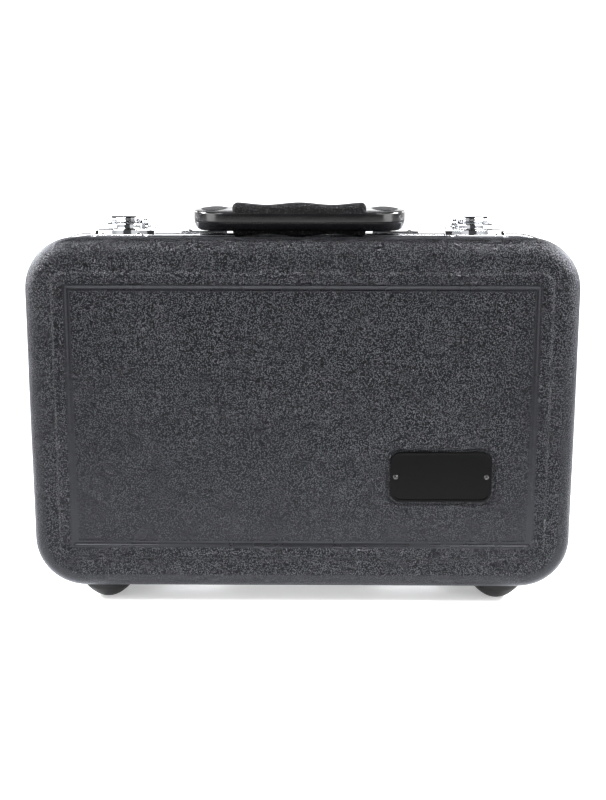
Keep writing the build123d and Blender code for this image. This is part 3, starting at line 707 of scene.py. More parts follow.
def plate_outline(w, L, r_end, r_start=0.6, n=6):
    """Rounded rectangle (x, s) with its own corner radii at the start and at the end."""
    return round_poly([(-w, 0, r_start), (w, 0, r_start), (w, L, r_end), (-w, L, r_end)], n)


def joggle_plate(w, s, y_end, r_end, t=PLATE_T, top=True, y_start=0.3):
    path = joggle_path(s, y_end, top, y_start)
    S, _, _ = path_frame(path)
    side = s * (1 if top else -1)
    return sheet_metal(plate_outline(w, S[-1], r_end), t, path, 0.35, 3, side)


def half_round_ear(x0, x1, cy, cz, r, y0, y1, z0):
    """Upright lug from x0 to x1 with a round top about (cy, cz)."""
    pts = [(y0, z0), (y1, z0)]
    pts += [(cy + r * cos(a), cz + r * sin(a)) for a in [pi * k / 14 for k in range(15)]]
    return prism_x(pts, x0, x1)


def rolled_nose():
    """Hook's rolled end: a round roll with the fine seam where the sheet comes round."""
    pts = []
    for k in range(64):
        a = 2 * pi * k / 64
        r = NOSE_R
        d = degdiff(a, pi + 0.10)
        r -= 0.30 * exp(-(d / 0.085) ** 2)
        pts.append((NOSE_Y + r * cos(a), NOSE_Z + r * sin(a)))
    return pts


def degdiff(a, b):
    return (a - b + pi) % (2 * pi) - pi


def crowned(part, half, drop, y_lim):
    """Lets the faces in front of y_lim fall back towards the sides, so that they are slightly crowned."""
    return [(x, y + (drop * min(1.0, abs(x) / half) ** 2 if y < y_lim else 0.0), z) for x, y, z in part[0]], part[1]


def slices_x(part, cuts):
    """Cuts a shape across at the given x, so that it can be crowned."""
    bm = bmesh.new()
    vs = [bm.verts.new(p) for p in part[0]]
    for f in part[1]:
        bm.faces.new([vs[i] for i in f])
    for c in cuts:
        bmesh.ops.bisect_plane(bm, geom=bm.verts[:] + bm.edges[:] + bm.faces[:], plane_co=(c, 0, 0), plane_no=(1, 0, 0), dist=1e-5)
    bm.verts.index_update()
    out = [tuple(v.co) for v in bm.verts], [tuple(v.index for v in f.verts) for f in bm.faces]
    bm.free()
    return out


def channel(path, W, t, r, depth, n=5, side=1):
    """Pressed channel: its web follows a (y, z) path and its flanges hang from it by depth(s)."""
    S, P, N = path_frame(path)
    rings = []
    for s, p, nn in zip(S, P, N):
        d = max(depth(s), r + 0.02)
        ri = max(0.12, r - t)
        outer = [(-W, -d)] + [(-W + r - r * cos(a), -r + r * sin(a)) for a in [pi / 2 * k / n for k in range(n + 1)]]
        outer += [(W - r + r * sin(a), -r + r * cos(a)) for a in [pi / 2 * k / n for k in range(n + 1)]] + [(W, -d)]
        w = W - t
        inner = [(-w, -d)] + [(-w + ri - ri * cos(a), -t - ri + ri * sin(a)) for a in [pi / 2 * k / n for k in range(n + 1)]]
        inner += [(w - ri + ri * sin(a), -t - ri + ri * cos(a)) for a in [pi / 2 * k / n for k in range(n + 1)]] + [(w, -d)]
        loop = outer + inner[::-1]
        rings.append([(x, p.x + nn.x * h * side, p.y + nn.y * h * side) for x, h in loop])
    v, f = loft(rings)
    m, k = len(rings[0]), len(rings[0]) // 2
    for base in (0, (len(rings) - 1) * m):
        for i in range(k - 1):
            f.append((base + i, base + i + 1, base + m - 2 - i, base + m - 1 - i))
    return v, f


LEVER_TOP = P_Z + 3.3
for sx, nx in ((-1, "left"), (1, "right")):
    xc = HW_DX + sx * LATCH_X
    pre = "latch_%s_" % nx
    # base plate with two lugs
    parts = [joggle_plate(LATCH_W, 1, 36.0, 5.0)]
    o = new_obj(pre + "base_plate", *shift_x(merge(*parts), xc), None)
    lugs = []
    for e in (-1, 1):
        a, b = sorted((e * 9.0, e * 10.2))
        lug = half_round_ear(a, b, P_Y, P_Z, 3.3, P_Y - 3.3, P_Y + 3.3, ZV + 1.2)
        lugs.append(shift_x(lug, xc))
    lo = new_obj(pre + "lugs", *merge(*lugs), None)
    bevel(lo, 0.22, 3)
    # feet of the lugs spread into the plate
    parts = []
    for e in (-1, 1):
        prof = round_poly([(e * 8.4, ZV + PLATE_T - 0.05, 0), (e * 9.02, ZV + PLATE_T + 0.02, 0.5), (e * 9.05, ZV + PLATE_T + 1.0, 0), (e * 9.8, ZV + PLATE_T + 1.0, 0), (e * 9.8, ZV + PLATE_T - 0.05, 0)], 4)
        n = len(prof)
        v = [(xc + x, y, z) for y in (P_Y - 3.1, P_Y + 0.6) for x, z in prof]
        parts.append((v, [tuple(range(n)), tuple(range(2 * n - 1, n - 1, -1))] + [(i, (i + 1) % n, n + (i + 1) % n, n + i) for i in range(n)]))
    fo = new_obj(pre + "lug_fillets", *merge(*parts), None)
    for q in (lo, fo):
        bm = bmesh.new()
        bm.from_mesh(o.data)
        bm.from_mesh(q.data)
        bm.to_mesh(o.data)
        bm.free()
        bpy.data.objects.remove(q)
    shade(o, 40, True)
    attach(o, "base")
    dress(o, M_CHROME, "hardware_chrome", pre + "base")
    # pivots
    parts = []
    for e in (-1, 1):
        prof = [(0, 0.0), (1.8, 0.0), (2.05, 0.2), (2.1, 0.6), (1.25, 0.6), (1.25, 3.5), (2.3, 3.5), (2.3, 3.75)] + [(2.3 * cos(i * pi / 16), 3.75 + 0.55 * sin(i * pi / 16)) for i in range(1, 8)] + [(0, 4.3)]
        parts.append(lathe(prof, (xc + e * 8.4, P_Y, P_Z), (e, 0, 0), 32))
    dress(new_obj(pre + "pivot_studs", *merge(*parts), "base"), M_STEEL, "rivet_steel", pre + "pivots")
    # lever: pressed channel with a slot for the hook and a curled tail
    zt = LEVER_TOP
    path = round_poly([(P_Y - 3.3, zt, 0), (36.6, zt, 2.6), (39.0, ZV + 5.4, 1.6), (40.4, ZV + 5.0, 0)], 6, closed=False)
    S, P, N = path_frame(path)

    def depth(s):
        y = P_Y - 3.3 + s
        if y <= 14:
            d = 6.6
        elif y <= 30:
            d = 6.6 + 1.6 * (y - 14) / 16
        elif y <= 36.5:
            u = (y - 30) / 6.5
            d = 8.2 * (1 - u * u) + 1.5 * u * u
        else:
            d = 1.5
        return d
    dense = []
    for a, b in zip(path, path[1:]):
        L = hypot(b[0] - a[0], b[1] - a[1])
        k = max(1, int(L / 1.0))
        dense += [(a[0] + (b[0] - a[0]) * i / k, a[1] + (b[1] - a[1]) * i / k) for i in range(k)]
    dense.append(path[-1])
    lev = new_obj(pre + "lever_arm", *shift_x(channel(dense, 11.8, 1.2, 1.5, depth), xc), None)
    carve(lev, *shift_x(block(-10.6, 10.6, -2, 11.7, ZV + 7.0, zt + 2), xc))
    slot = round_poly([(-8.4, 5.0, 0), (8.4, 5.0, 0), (8.4, 19.3, 2.2), (-8.4, 19.3, 2.2)], 6)
    n = len(slot)
    v = [(xc + x, y, z) for z in (ZV + 6.0, zt + 2) for x, y in slot]
    carve(lev, v, [tuple(range(n)), tuple(range(2 * n - 1, n - 1, -1))] + [(i, (i + 1) % n, n + (i + 1) % n, n + i) for i in range(n)])
    # round the front ends of the cheeks about the pivot
    arc = [(P_Y - 3.3 * sin(a), P_Z + 3.3 * cos(a)) for a in [pi * k / 20 for k in range(21)]]
    cut = [(P_Y, zt + 3), (-4, zt + 3), (-4, ZV - 3), (P_Y + 0.0, ZV - 3)] + arc[::-1]
    carve(lev, *shift_x(prism_x(cut, -14, 14), xc))
    bevel(lev, 0.16, 2, 35)
    shade(lev, 40, True)
    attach(lev, pre + "lever")
    dress(lev, M_CHROME, "hardware_chrome", pre + "lever")
    # hook pin
    parts = [rod_x(xc - 11.9, xc + 11.9, Q_Y, Q_Z, 1.25, 0.2)]
    for e in (-1, 1):
        parts.append(lathe(dome(1.9, 0.75) + [(1.9, 0.0), (0, 0.0)], (xc + e * 11.85, Q_Y, Q_Z), (e, 0, 0), 28))
    dress(new_obj(pre + "hook_axle", *merge(*parts), pre + "lever"), M_STEEL, "rivet_steel", pre + "hook_pin")
    # hook: eye on the pin, flat link, rolled nose
    zl = LIP_Z + 0.6
    eye = [(Q_Y + 2.7 * cos(a), Q_Z + 2.7 * sin(a)) for a in [2 * pi * k / 40 for k in range(40)]]
    hk = new_obj(pre + "hook_link", *shift_x(prism_x(eye, -7.6, 7.6), xc), None)
    link = sheet_metal(round_poly([(-7.6, 0, 0.3), (7.6, 0, 0.3), (7.6, 26.4, 0.3), (-7.6, 26.4, 0.3)], 2), 1.6, [(Q_Y, zl), (NOSE_Y, zl)], 0.3, 2, -1)
    carve(hk, *shift_x(prism_x([(Q_Y, zl), (Q_Y, zl + 1.6), (NOSE_Y, zl + 1.6), (NOSE_Y, zl)], -7.6, 7.6), xc), op="UNION")
    carve(hk, *shift_x(prism_x([(Q_Y + 1.3 * cos(a), Q_Z + 1.3 * sin(a)) for a in [2 * pi * k / 32 for k in range(32)]], -9, 9), xc))
    bevel(hk, 0.22, 3, 35)
    nose = slices_x(prism_x(rolled_nose(), -7.9, 7.9), [c * 0.9 for c in range(-8, 9)])
    nose = crowned(nose, 7.9, 1.1, 50.0)
    no = new_obj(pre + "nose", *shift_x(nose, xc), None)
    bevel(no, 0.35, 3, 50)
    bm = bmesh.new()
    bm.from_mesh(hk.data)
    bm.from_mesh(no.data)
    bm.to_mesh(hk.data)
    bm.free()
    bpy.data.objects.remove(no)
    shade(hk, 40, True)
    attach(hk, pre + "hook")
    dress(hk, M_CHROME, "hardware_chrome", pre + "hook")
    # catch: plate, pressed skirt and the lip that the hook draws on
    cp = joggle_plate(LATCH_W, -1, 27.0, 5.0)
    co = new_obj(pre + "catch_plate", *shift_x(cp, xc), None)
    hump = round_poly([(-4.4, ZV + 1.0, 0.3), (-8.2, ZV + 3.8, 1.0), (-9.4, LIP_Z, 0.5), (-13.8, LIP_Z, 1.5), (-14.0, ZV + 2.7, 0.7), (-16.6, ZV + 1.6, 0.6), (-16.8, ZV - 2.0, 0.2), (-9.4, ZV - 0.8, 0.2), (-8.6, ZV + 0.8, 0.2)], 4)
    skirt = round_poly([(-3.6, ZV + 1.0, 0.3), (-7.4, ZV + 2.6, 1.2), (-19.5, ZV + 2.4, 1.2), (-19.8, ZV - 1.2, 0.4), (-20.6, ZV - 1.9, 0.4), (-20.8, ZV - 2.7, 0.2), (-9.4, ZV - 0.8, 0.2), (-8.6, ZV + 0.8, 0.2)], 4)
    extra = []
    for prof, w, drop, bev in ((hump, 10.4, 2.2, 0.8), (skirt, 15.0, 3.2, 1.0)):
        body = slices_x(prism_x(prof, -w, w), [w * c / 8 for c in range(-7, 8)])
        body = crowned(body, w, drop, -9.0)
        q = new_obj(pre + "press", *shift_x(body, xc), None)
        bevel(q, bev, 4, 60)
        extra.append(q)
    for q in extra:
        bm = bmesh.new()
        bm.from_mesh(co.data)
        bm.from_mesh(q.data)
        bm.to_mesh(co.data)
        bm.free()
        bpy.data.objects.remove(q)
    shade(co, 40, True)
    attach(co, "lid")
    dress(co, M_CHROME, "hardware_chrome", pre + "catch")
    parts = [rivet_mesh((xc + e * 15.0, yy, shell_top(yy) + PLATE_T), (0, 0, -1), 2.1, 1.0, 2.0, 1.3) for e in (-1, 1) for yy in (15.0, 30.0)]
    dress(new_obj(pre + "base_rivet_heads", *merge(*parts), "base"), M_STEEL, "rivet_steel", pre + "base_rivets")
    parts = [rivet_mesh((xc + e * 11.0, -23.4, shell_top(23.4) + PLATE_T), (0, 0, -1), 2.1, 1.0, 2.0, 1.3) for e in (-1, 1)]
    dress(new_obj(pre + "catch_rivet_heads", *merge(*parts), "lid"), M_STEEL, "rivet_steel", pre + "catch_rivets")


# =====================================================================
# handle
# =====================================================================
CT, ST = cos(radians(TILT)), sin(radians(TILT))


def on_handle(p):
    """Handle's own coordinates to the row frame."""
    x, y, z = p
    return (x + HW_DX, H_Y + y * CT - z * ST, H_Z + y * ST + z * CT)


def fall(y):
    """How far the handle's top falls towards its front."""
    return 1.0 * max(0.0, (-13.0 - y) / 28.5) ** 2


def u_ring(d, z, n=16):
    """The handle's U-shaped plan, drawn in by d, at height z. It opens to the rear between the arms."""
    R, RF, ri, ro, W = max(0.4, 11.0 - d), max(0.4, 20.0 - d), 5.0 + d, max(0.3, 1.8 - d * 0.5), HALF_HANDLE
    pts = round_poly([(W - d, -41.5 + d, RF), (W - d, 7 - d, R), (38 + d, 7 - d, ro), (38 + d, -25 - d, ri), (-38 - d, -25 - d, ri), (-38 - d, 7 - d, ro),
                      (-W + d, 7 - d, R), (-W + d, -41.5 + d, RF)], n)
    return [(x, y, z - (fall(y) * max(0.0, z) / 6.3 if z > 2.0 else 0.0)) for x, y in pts]


levels = [(-0.72, 1.1), (-0.72, 0.12), (-0.66, 0.03), (0.2, 0.0), (2.4, 0.02), (3.4, 0.05), (4.1, 0.10)]
levels += [(4.3 + 1.35 * sin(a), 0.12 + 1.35 * (1 - cos(a))) for a in [radians(6) + radians(80) * k / 9 for k in range(10)]]
levels += [(5.78, 2.6), (5.90, 4.0), (6.0, 5.6), (6.10, 7.6)]
upper = new_obj("handle_upper_shell", *move(loft([u_ring(d, z) for z, d in levels], cap0=True, cap1=True), on_handle), None)
levels = [(-1.05, 1.1), (-1.05, 0.14), (-1.11, 0.05), (-1.8, 0.18), (-2.6, 0.42), (-3.4, 0.72), (-4.2, 1.08), (-4.9, 1.46), (-5.5, 1.88), (-6.0, 2.36), (-6.35, 2.9), (-6.55, 3.5), (-6.6, 4.2), (-6.6, 7.6)]
lower = new_obj("handle_lower_shell", *move(loft([u_ring(d, z) for z, d in levels], cap0=True, cap1=True), on_handle), None)
for o in (upper, lower):
    for e in (-1, 1):
        a, b = sorted((e * 52.25, e * 55.75))
        carve(o, *move(block(a, b, -4.6, 12, -9, 4.9), on_handle))
for e in (-1, 1):
    for xx, yy in ((44.0, -33.0), (43.5, -6.0)):
        carve(lower, *move(lathe([(0, -8.0), (2.35, -8.0), (2.35, -3.8), (0, -3.8)], (e * xx, yy, 0), (0, 0, 1), 28), on_handle))
for o, n in ((upper, "handle_frame_upper"), (lower, "handle_frame_lower")):
    clean(o)
    shade(o, 38, True)
    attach(o, "handle")
    dress(o, M_HANDLE, "handle_plastic", n)


def grip_loop(x, d):
    u = x / 40.3
    zt = 9.4 + 0.7 * cos(2 * pi * u) - d
    zb = -9.2 - 0.9 * cos(2 * pi * u) + d
    return [(x, y, z) for y, z in round_poly([(-41.25 + d, 4.25, 0.25), (-40.4, 3.8, 0.2), (-39.9, 2.5, 0.3), (-38.6, -4.4, 0.6), (-37.2 + d, zb, 2.8), (-20.9 - d, zb, 4.0), (-20.9 - d, zt, 4.4), (-41.0 + d, zt, 3.6)], 7)]


rings = []
R_END = 2.2
for k in range(7):
    a = pi / 2 * k / 6
    rings.append(grip_loop(-40.3 + R_END * (1 - cos(a)), R_END * (1 - sin(a))))
for k in range(1, 60):
    rings.append(grip_loop(-38.1 + 76.2 * k / 60, 0.0))
for k in range(7):
    a = pi / 2 * k / 6
    rings.append(grip_loop(38.1 + R_END * sin(a), R_END * (1 - cos(a))))
o = new_obj("handle_grip_rubber", *move(loft(rings, cap0=True, cap1=True), on_handle), "handle", angle=50)
dress(o, M_GRIP, "grip_rubber", "handle_grip")

parts = []
for e in (-1, 1):
    rings = []
    for f_, h in ((0.985, -1.6), (1.0, -0.9), (1.0, -0.2), (0.985, 0.12), (0.95, 0.34), (0.88, 0.50), (0.75, 0.60), (0.5, 0.68), (0.25, 0.71), (0.02, 0.72)):
        r_ = []
        for k in range(48):
            a = 2 * pi * k / 48
            dx, dy = 8.7 * f_ * cos(a), 17.2 * f_ * sin(a)
            y = -16.8 + dy
            r_.append((e * (52.9 + dx), y, 6.12 + h - 0.6 * (dx / 8.7) ** 2 - fall(y) - (0.35 * (y + 3.0) ** 2 / 9.0 if y > -3 else 0.0)))
        rings.append(r_)
    parts.append(move(loft(rings, cap1=True), on_handle))
o = new_obj("handle_oval_pads", *merge(*parts), "handle", angle=50)
dress(o, M_PAD, "grip_rubber", "handle_end_pads")

# ---- brackets ----
for sx, nx in ((-1, "left"), (1, "right")):
    pre = "handle_bracket_%s" % nx
    xi, xo = 46.0, 75.8
    w, xm = (xo - xi) / 2, HW_DX + sx * (xi + xo) / 2
    o = new_obj(pre + "_plate", *shift_x(joggle_plate(w, 1, 24.0, 3.0), xm), None)
    xe = HW_DX + sx * 54.0
    ear = new_obj(pre + "_ear", *half_round_ear(xe - 1.5, xe + 1.5, H_Y, H_Z, 3.4, H_Y - 3.2, H_Y + 3.2, ZV + 1.0), None)
    bevel(ear, 0.35, 3)
    bm = bmesh.new()
    bm.from_mesh(o.data)
    bm.from_mesh(ear.data)
    bm.to_mesh(o.data)
    bm.free()
    bpy.data.objects.remove(ear)
    shade(o, 40, True)
    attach(o, "base")
    dress(o, M_CHROME, "hardware_chrome", pre)
    parts = [rivet_mesh((HW_DX + sx * xx, 18.6, shell_top(18.6) + PLATE_T), (0, 0, -1), 2.3, 1.1, 2.0, 1.5) for xx in (51.0, 70.0)]
    parts.append(rivet_mesh((HW_DX + sx * 70.6, 4.2, ZV + PLATE_T), (0, 0, -1), 2.3, 1.1, 1.8, 1.5))
    dress(new_obj(pre + "_rivet_heads", *merge(*parts), "base"), M_STEEL, "rivet_steel", pre + "_rivets")

# =====================================================================
# hinges
# =====================================================================
seg = HINGE_W / 5
for sx, nx in ((-1, "left"), (1, "right")):
    xc = sx * HINGE_X
    x0 = xc - HINGE_W / 2
    for s, nm in ((1, "base"), (-1, "lid")):
        pre = "hinge_%s_%s" % (nx, nm)
        o = new_obj(pre + "_plate", *shift_x(joggle_plate(HINGE_W / 2, s, 26.0, 4.0, 1.4, top=False, y_start=3.5), xc), None)
        parts = []
        for i in range(5):
            if (i % 2 == 0) == (s == 1):
                a, b = x0 + i * seg + 0.12, x0 + (i + 1) * seg - 0.12
                parts.append(rod_x(a, b, 0, HINGE_Z, 3.0, 0.25, 40, HINGE_W and 1.55))
                strap = [(s * 0.2, HINGE_Z + 1.55), (s * 4.6, ZB - 1.4), (s * 4.6, ZB - 0.02), (s * 0.2, HINGE_Z + 3.0)]
                q = prism_x(strap if s > 0 else strap[::-1], a + 0.05, b - 0.05)
                parts.append(q)
        kn = new_obj(pre + "_knuckles", *merge(*parts), None)
        bm = bmesh.new()
        bm.from_mesh(o.data)
        bm.from_mesh(kn.data)
        bm.to_mesh(o.data)
        bm.free()
        bpy.data.objects.remove(kn)
        shade(o, 40, True)
        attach(o, nm)
        dress(o, M_CHROME, "hardware_chrome", pre + "_leaf")
        parts = [rivet_mesh((xc + dx, s * yy, shell_bottom(yy) - 1.4), (0, 0, 1), 2.3, 0.9, 2.0, 1.4) for dx in (-15, 15) for yy in (14.0, 21.0)]
        dress(new_obj(pre + "_rivet_heads", *merge(*parts), nm), M_STEEL, "rivet_steel", pre + "_rivets")
    o = new_obj("hinge_%s_rod" % nx, *rod_x(x0 - 0.6, x0 + HINGE_W + 0.6, 0, HINGE_Z, 1.5, 0.45), "base")
    dress(o, M_STEEL, "rivet_steel", "hinge_%s_pin" % nx)


# =====================================================================
# plush-covered padding
# =====================================================================
def taper_ring(x0, x1, zc, h0, h1, r, d, y, n=8):
    """Outline of a cavity, drawn in by d: half height h0 at x0 and h1 at x1."""
    sl = (h1 - h0) / (x1 - x0)
    k = d * sqrt(1 + sl * sl)
    ha, hb = h0 + sl * d - k, h1 - sl * d - k
    ha, hb = max(0.15, ha), max(0.15, hb)
    xa, xb = x0 + d, x1 - d
    rr_ = max(0.1, min(r - d, ha - 0.02, hb - 0.02))
    return [(x, y, z) for x, z in round_poly([(xa, zc - ha, rr_), (xb, zc - hb, rr_), (xb, zc + hb, rr_), (xa, zc + ha, rr_)], n)]


def land(outer, holes, y_of, step=3.2):
    """The padding's face between the cavities: a fine triangle mesh, raised a little away from its edges."""
    loops = [outer] + holes
    pts, edges = [], []
    for lp in loops:
        b = len(pts)
        q = []
        for p in lp:
            if not q or hypot(p[0] - q[-1][0], p[2] - q[-1][1]) > 1e-3:
                q.append((p[0], p[2]))
        if hypot(q[0][0] - q[-1][0], q[0][1] - q[-1][1]) < 1e-3:
            q.pop()
        pts += q
        edges += [(b + i, b + (i + 1) % len(q)) for i in range(len(q))]

    def inside(poly, x, z):
        c = False
        j = len(poly) - 1
        for i in range(len(poly)):
            xi, zi, xj, zj = poly[i][0], poly[i][2], poly[j][0], poly[j][2]
            if (zi > z) != (zj > z) and x < (xj - xi) * (z - zi) / (zj - zi + 1e-12) + xi:
                c = not c
            j = i
        return c

    samples = []
    for lp in loops:
        for a, b in zip(lp, lp[1:] + lp[:1]):
            L = hypot(b[0] - a[0], b[2] - a[2])
            k = max(1, int(L / 1.5))
            samples += [(a[0] + (b[0] - a[0]) * i / k, a[2] + (b[2] - a[2]) * i / k) for i in range(k)]
    SA = np.array(samples)

    def dist(P):
        P = np.array(P, float)
        out = np.empty(len(P))
        for i in range(0, len(P), 400):
            q = P[i:i + 400]
            out[i:i + 400] = np.sqrt(((q[:, None, :] - SA[None, :, :]) ** 2).sum(2)).min(1)
        return out

    xs = [p[0] for p in outer]
    zs = [p[2] for p in outer]
    grid = []
    row = 0
    z = min(zs) + step * 0.5
    while z < max(zs):
        x = min(xs) + step * (0.5 + 0.5 * (row % 2))
        while x < max(xs):
            if inside(outer, x, z) and not any(inside(h, x, z) for h in holes):
                grid.append((x, z))
            x += step
        z += step * 0.87
        row += 1
    dd = dist(grid)
    grid = [g_ for g_, d_ in zip(grid, dd) if d_ > step * 0.45]
    allp = pts + grid
    vo, _, fo, _, _, _ = delaunay_2d_cdt([Vector(p) for p in allp], edges, [], 1, 1e-6)
    tri = []
    for f_ in fo:
        cx = sum(vo[i].x for i in f_) / len(f_)
        cz = sum(vo[i].y for i in f_) / len(f_)
        if inside(outer, cx, cz) and not any(inside(h, cx, cz) for h in holes):
            tri.append(tuple(f_))
    d_ = dist([(p.x, p.y) for p in vo])
    verts = [(p.x, y_of(dk, p.x, p.y), p.y) for p, dk in zip(vo, d_)]
    return verts, tri


def smooth01(t):
    t = max(0.0, min(1.0, t))
    return t * t * (3 - 2 * t)


def cavity_rings(shape, s, y_face, y_floor, hw, lip=4.0, kind="round", fr=8.0):
    """Rings from the lip of a cavity down to the middle of its floor. s is the way in: +1 towards +Y."""
    depth = abs(y_floor - y_face)
    rings = []
    for k in range(7):
        a = pi / 2 * k / 6
        rings.append(shape(-lip + lip * sin(a), y_face + s * lip * (1 - cos(a))))
    if kind == "round":
        b = min(depth - lip - 1.0, hw * 0.92)
        y0 = y_floor - s * b
        rings.append(shape(0.25, (y_face + s * lip) * 0.5 + y0 * 0.5))
        for k in range(0, 13):
            a = pi / 2 * k / 12
            rings.append(shape(0.4 + (hw - 0.65) * (1 - cos(a)), y0 + s * b * sin(a)))
    else:
        y0 = y_floor - s * fr
        rings.append(shape(0.3, (y_face + s * lip) * 0.5 + y0 * 0.5))
        for k in range(0, 9):
            a = pi / 2 * k / 8
            rings.append(shape(0.5 + fr * (1 - cos(a)), y0 + s * fr * sin(a)))
    return rings


NCO = 20
outer_n = -VAL_IN - 0.6


def padded_half(name, s, face_y, cav, back_y, puff, node_list, body):
    """One half's padding under its plush: land, lips, cavities, rolled rim and back."""
    parts = []
    rim = []
    R = 3.2
    for k in range(7):
        a = pi / 2 * k / 6
        rim.append(out_ring(outer_n - R + R * sin(a), face_y + s * R * (1 - cos(a)), NCO))
    side = [out_ring(outer_n, face_y + s * (R + 2), NCO), out_ring(outer_n - 1.0, s * 30.0, NCO), out_ring(outer_n - 2.2, s * 43.0, NCO), out_ring(outer_n - 5.5, back_y - s * 1.0, NCO), out_ring(outer_n - 6.5, back_y, NCO)]
    parts.append(loft(rim + side))
    parts.append(fill_between([side[-1]]))
    holes = []
    for c in cav:
        rg = c
        holes.append(rg[0])
        parts.append(loft(rg))
        parts.append(fill_between([rg[-1]]) if not c[0] is None else ([], []))
    y_of = lambda d, x, z: face_y - s * puff * smooth01(d / 7.0)
    parts.append(land(rim[0], holes, y_of))
    v, f = merge(*parts)
    o = new_obj(name, v, f, body, angle=180, weighted=False)
    dress(o, M_PLUSH, "plush_lining", *node_list)
    return o


UP = dict(x0=-136.0, x1=122.0, zc=Z_MID + 64, h0=17.0, h1=17.0)
LO = dict(x0=-142.0, x1=142.0, zc=Z_MID + 14, h0=20.0, h1=20.0)
BE = dict(x0=-148.0, x1=-4.0, zc=Z_MID - 55, h0=28.0, h1=19.0)
F0 = BASE_FACE_Y


def shape_of(c, r):
    return lambda d, y: taper_ring(c["x0"], c["x1"], c["zc"], c["h0"], c["h1"], r, d, y)


def pocket_shape(d, y):
    return ring(67.0 - d, 31.5 - d, max(0.6, 7.0 - d), y, 8, 81.0, Z_MID - 55.5)


cav = [cavity_rings(shape_of(UP, 9.0), 1, F0, 38.0, 17.0),
       cavity_rings(shape_of(LO, 10.0), 1, F0, 42.6, 20.0),
       cavity_rings(shape_of(BE, 10.0), 1, F0, 42.6, 18.6),
       cavity_rings(pocket_shape, 1, F0, 42.6, 30.0, kind="flat", fr=7.0)]
padded_half("base_plush_padding", 1, F0, cav, 50.9, 0.55, ["base_lining", "base_foam_floor", "base_foam_blocks"], "base")


def lid_shape(d, y):
    return ring(145.0 - d, 86.0 - d, max(1.0, 9.0 - d), y, 12)


rg = cavity_rings(lid_shape, -1, LID_FACE_Y, -33.9, 80.0, lip=4.5, kind="flat", fr=9.0)
last = lid_shape(14.0, -33.9)
lid_parts_rings = rg + [last]
padded_half("lid_plush_padding", -1, LID_FACE_Y, [lid_parts_rings], -50.9, 0.5, ["lid_lining", "lid_foam_floor", "lid_foam_rails"], "lid")


# =====================================================================
# carried-over CAD nodes get their materials
# =====================================================================
def paint(names, mat):
    for n in names:
        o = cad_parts[n]
        o.data.materials.clear()
        o.data.materials.append(mat)


paint(["handle_pins", "handle_screws", "foot_screws_lid", "foot_screws_base"], M_STEEL)

# =====================================================================
# stage, light and camera
# =====================================================================
def stage_sweep():
    """Pale floor that curves up into a backdrop. It glows further out to stay evenly white, and glows under the case as
    painted light.
    """
    pts = [(-1.5, 0.0), (2.0, 0.0)]
    R = 0.7
    for k in range(1, 17):
        a = radians(90 * k / 16)
        pts.append((2.0 + R * sin(a), R - R * cos(a)))
    pts.append((2.0 + R, 1.15))
    me = bpy.data.meshes.new("floor")
    v = [(x, y, z) for x in (-6.0, 6.0) for y, z in pts]
    n = len(pts)
    me.from_pydata(v, [], [(i, i + 1, n + i + 1, n + i) for i in range(n - 1)])
    for p in me.polygons:
        p.use_smooth = True
    o = bpy.data.objects.new("floor", me)
    bpy.context.scene.collection.objects.link(o)
    m = Mat("floor_paper")
    m.set(Roughness=0.9, Specular_IOR_Level=0.1, Emission_Strength=1.0)
    d_ = m.add("ShaderNodeVectorMath", operation="LENGTH")
    m.link(m.co, "Object", d_, 0)
    far = m.ramp(m.math("MULTIPLY", d_.outputs["Value"], 0.25), [(0.10, 0.0), (0.22, 0.34), (0.40, 0.62), (0.70, 0.80)])
    nv = m.add("ShaderNodeVectorMath", operation="MULTIPLY")
    nv.inputs[1].default_value = (0.4, 1.0, 1.0)
    m.link(m.co, "Object", nv, 0)
    nl = m.add("ShaderNodeVectorMath", operation="LENGTH")
    m.link(nv, "Vector", nl, 0)
    # painted light: the floor glows under and round the case, filling in its contact shadow
    painted_glow_under_case = m.ramp(m.math("MULTIPLY", nl.outputs["Value"], 4.0), [(0.0, 0.50), (0.22, 0.32), (0.40, 0.06), (0.60, 0.0)])
    m.t.links.new(m.math("ADD", painted_glow_under_case.outputs["Color"], far.outputs["Color"]), m.b.inputs["Emission Color"])
    n_ = m.noise(3, 3, 0.5)
    m.color(m.mix(n_.outputs["Fac"], (0.93, 0.93, 0.93), (0.96, 0.96, 0.96)))
    me.materials.append(m.m)
    return o


stage_sweep()


def area(name, loc, target, size, energy, color=(1, 1, 1), spread=180):
    d = bpy.data.lights.new(name, "AREA")
    d.shape = "RECTANGLE"
    d.size, d.size_y = size
    d.energy = energy
    d.spread = radians(spread)
    d.color = color
    o = bpy.data.objects.new(name, d)
    o.location = loc
    o.rotation_euler = (Vector(target) - Vector(loc)).to_track_quat("-Z", "Y").to_euler()
    o.visible_camera = False
    bpy.context.scene.collection.objects.link(o)
    return o


for sx in (-1, 1):
    area("key_%+d" % sx, (sx * 0.62, -1.14, 1.62), (sx * 0.06, 0, 0.18), (0.56, 0.46), 19)
    area("strip_%+d" % sx, (sx * 1.10, -0.82, 0.46), (0, 0, 0.16), (0.85, 0.9), 11)
    area("corner_%+d" % sx, (sx * 1.49, 0.03, 1.11), (sx * 0.14, 0, 0.21), (0.60, 0.50), 5.4, spread=30)
    area("back_%+d" % sx, (sx * 1.45, 1.55, 1.00), (0, 0, 0.14), (0.5, 0.5), 14)

# the room: white near the horizon, dim above, with dark flags straight in front
world = bpy.data.worlds.new("studio")
bpy.context.scene.world = world
world.use_nodes = True
wt = world.node_tree
bg = wt.nodes["Background"]
bg.inputs["Strength"].default_value = 1.0
tc = wt.nodes.new("ShaderNodeTexCoord")
sep = wt.nodes.new("ShaderNodeSeparateXYZ")
wt.links.new(tc.outputs["Generated"], sep.inputs[0])


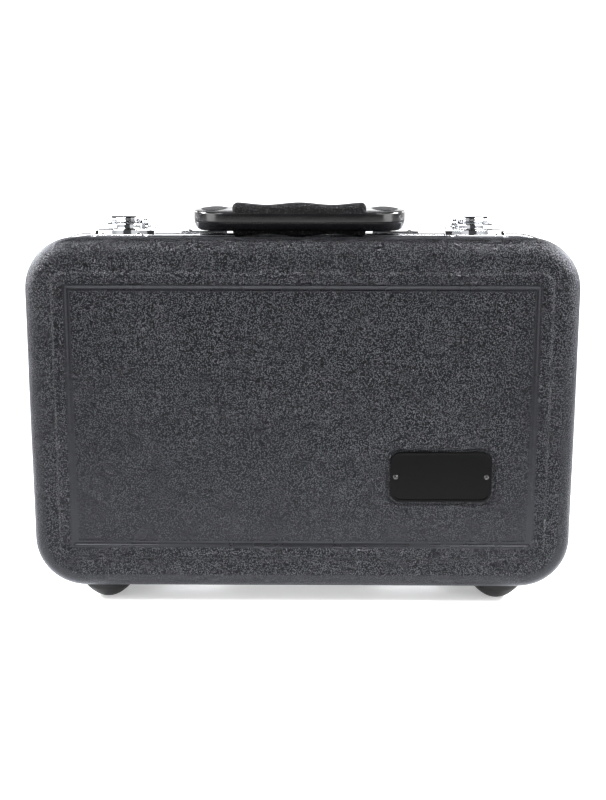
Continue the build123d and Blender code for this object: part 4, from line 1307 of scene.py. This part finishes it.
def world_ramp(sock, stops):
    n = wt.nodes.new("ShaderNodeValToRGB")
    e = n.color_ramp.elements
    while len(e) > 1:
        e.remove(e[-1])
    for i, (pos, c) in enumerate(stops):
        el = e[0] if i == 0 else e.new(pos)
        el.position = pos
        el.color = (c * 0.985, c * 0.99, c, 1)
    n.color_ramp.interpolation = "LINEAR"
    wt.links.new(sock, n.inputs[0])
    return n.outputs[0]


def world_math(op, a, b=None):
    n = wt.nodes.new("ShaderNodeMath")
    n.operation = op
    for i, v in enumerate((a, b)):
        if isinstance(v, (int, float)):
            n.inputs[i].default_value = v
        elif v is not None:
            wt.links.new(v, n.inputs[i])
    return n.outputs[0]


lift = world_math("MULTIPLY_ADD", sep.outputs[2], 0.5)
lift.node.inputs[2].default_value = 0.5
height = world_ramp(lift, [(0.0, 0.25), (0.492, 0.25), (0.50, 0.85), (0.60, 0.80), (0.75, 0.66), (0.82, 0.55), (0.855, 0.42), (0.885, 0.10), (1.0, 0.06)])
az = world_math("ABSOLUTE", world_math("ARCTAN2", sep.outputs[0], world_math("MULTIPLY", sep.outputs[1], -1.0)), None)
az = world_math("MULTIPLY", az, 180 / pi / 60.0)
turn = world_ramp(az, [(0.0, 0.08), (7.6 / 60, 0.08), (8.6 / 60, 1.0), (20.0 / 60, 1.0), (26.0 / 60, 0.6), (1.0, 0.55)])
mx = wt.nodes.new("ShaderNodeMix")
mx.data_type = "RGBA"
mx.blend_type = "MULTIPLY"
mx.inputs[0].default_value = 1.0
wt.links.new(height, mx.inputs[6])
wt.links.new(turn, mx.inputs[7])
wt.links.new(mx.outputs[2], bg.inputs["Color"])

F_PX, PITCH, YAW, ROLL = 958.0, radians(8.95), radians(-0.38), radians(0.10)
cam_d = bpy.data.cameras.new("camera")
cam_d.sensor_width = 36.0
cam_d.sensor_fit = "AUTO"
cam_d.lens = F_PX * 36.0 / 800.0
cam_d.clip_start = 0.02
cam = bpy.data.objects.new("camera", cam_d)
fwd = Vector((sin(YAW) * cos(PITCH), cos(YAW) * cos(PITCH), -sin(PITCH)))
right = Vector((cos(YAW), -sin(YAW), 0))
up = right.cross(fwd)
r2 = right * cos(ROLL) + up * sin(ROLL)
u2 = -right * sin(ROLL) + up * cos(ROLL)
M = Matrix((r2, u2, -fwd)).transposed().to_4x4()
M.translation = Vector((0.00435, -0.6177, 0.2185))
cam.matrix_world = M
bpy.context.scene.collection.objects.link(cam)
bpy.context.scene.camera = cam
bpy.context.scene.view_settings.view_transform = "Standard"
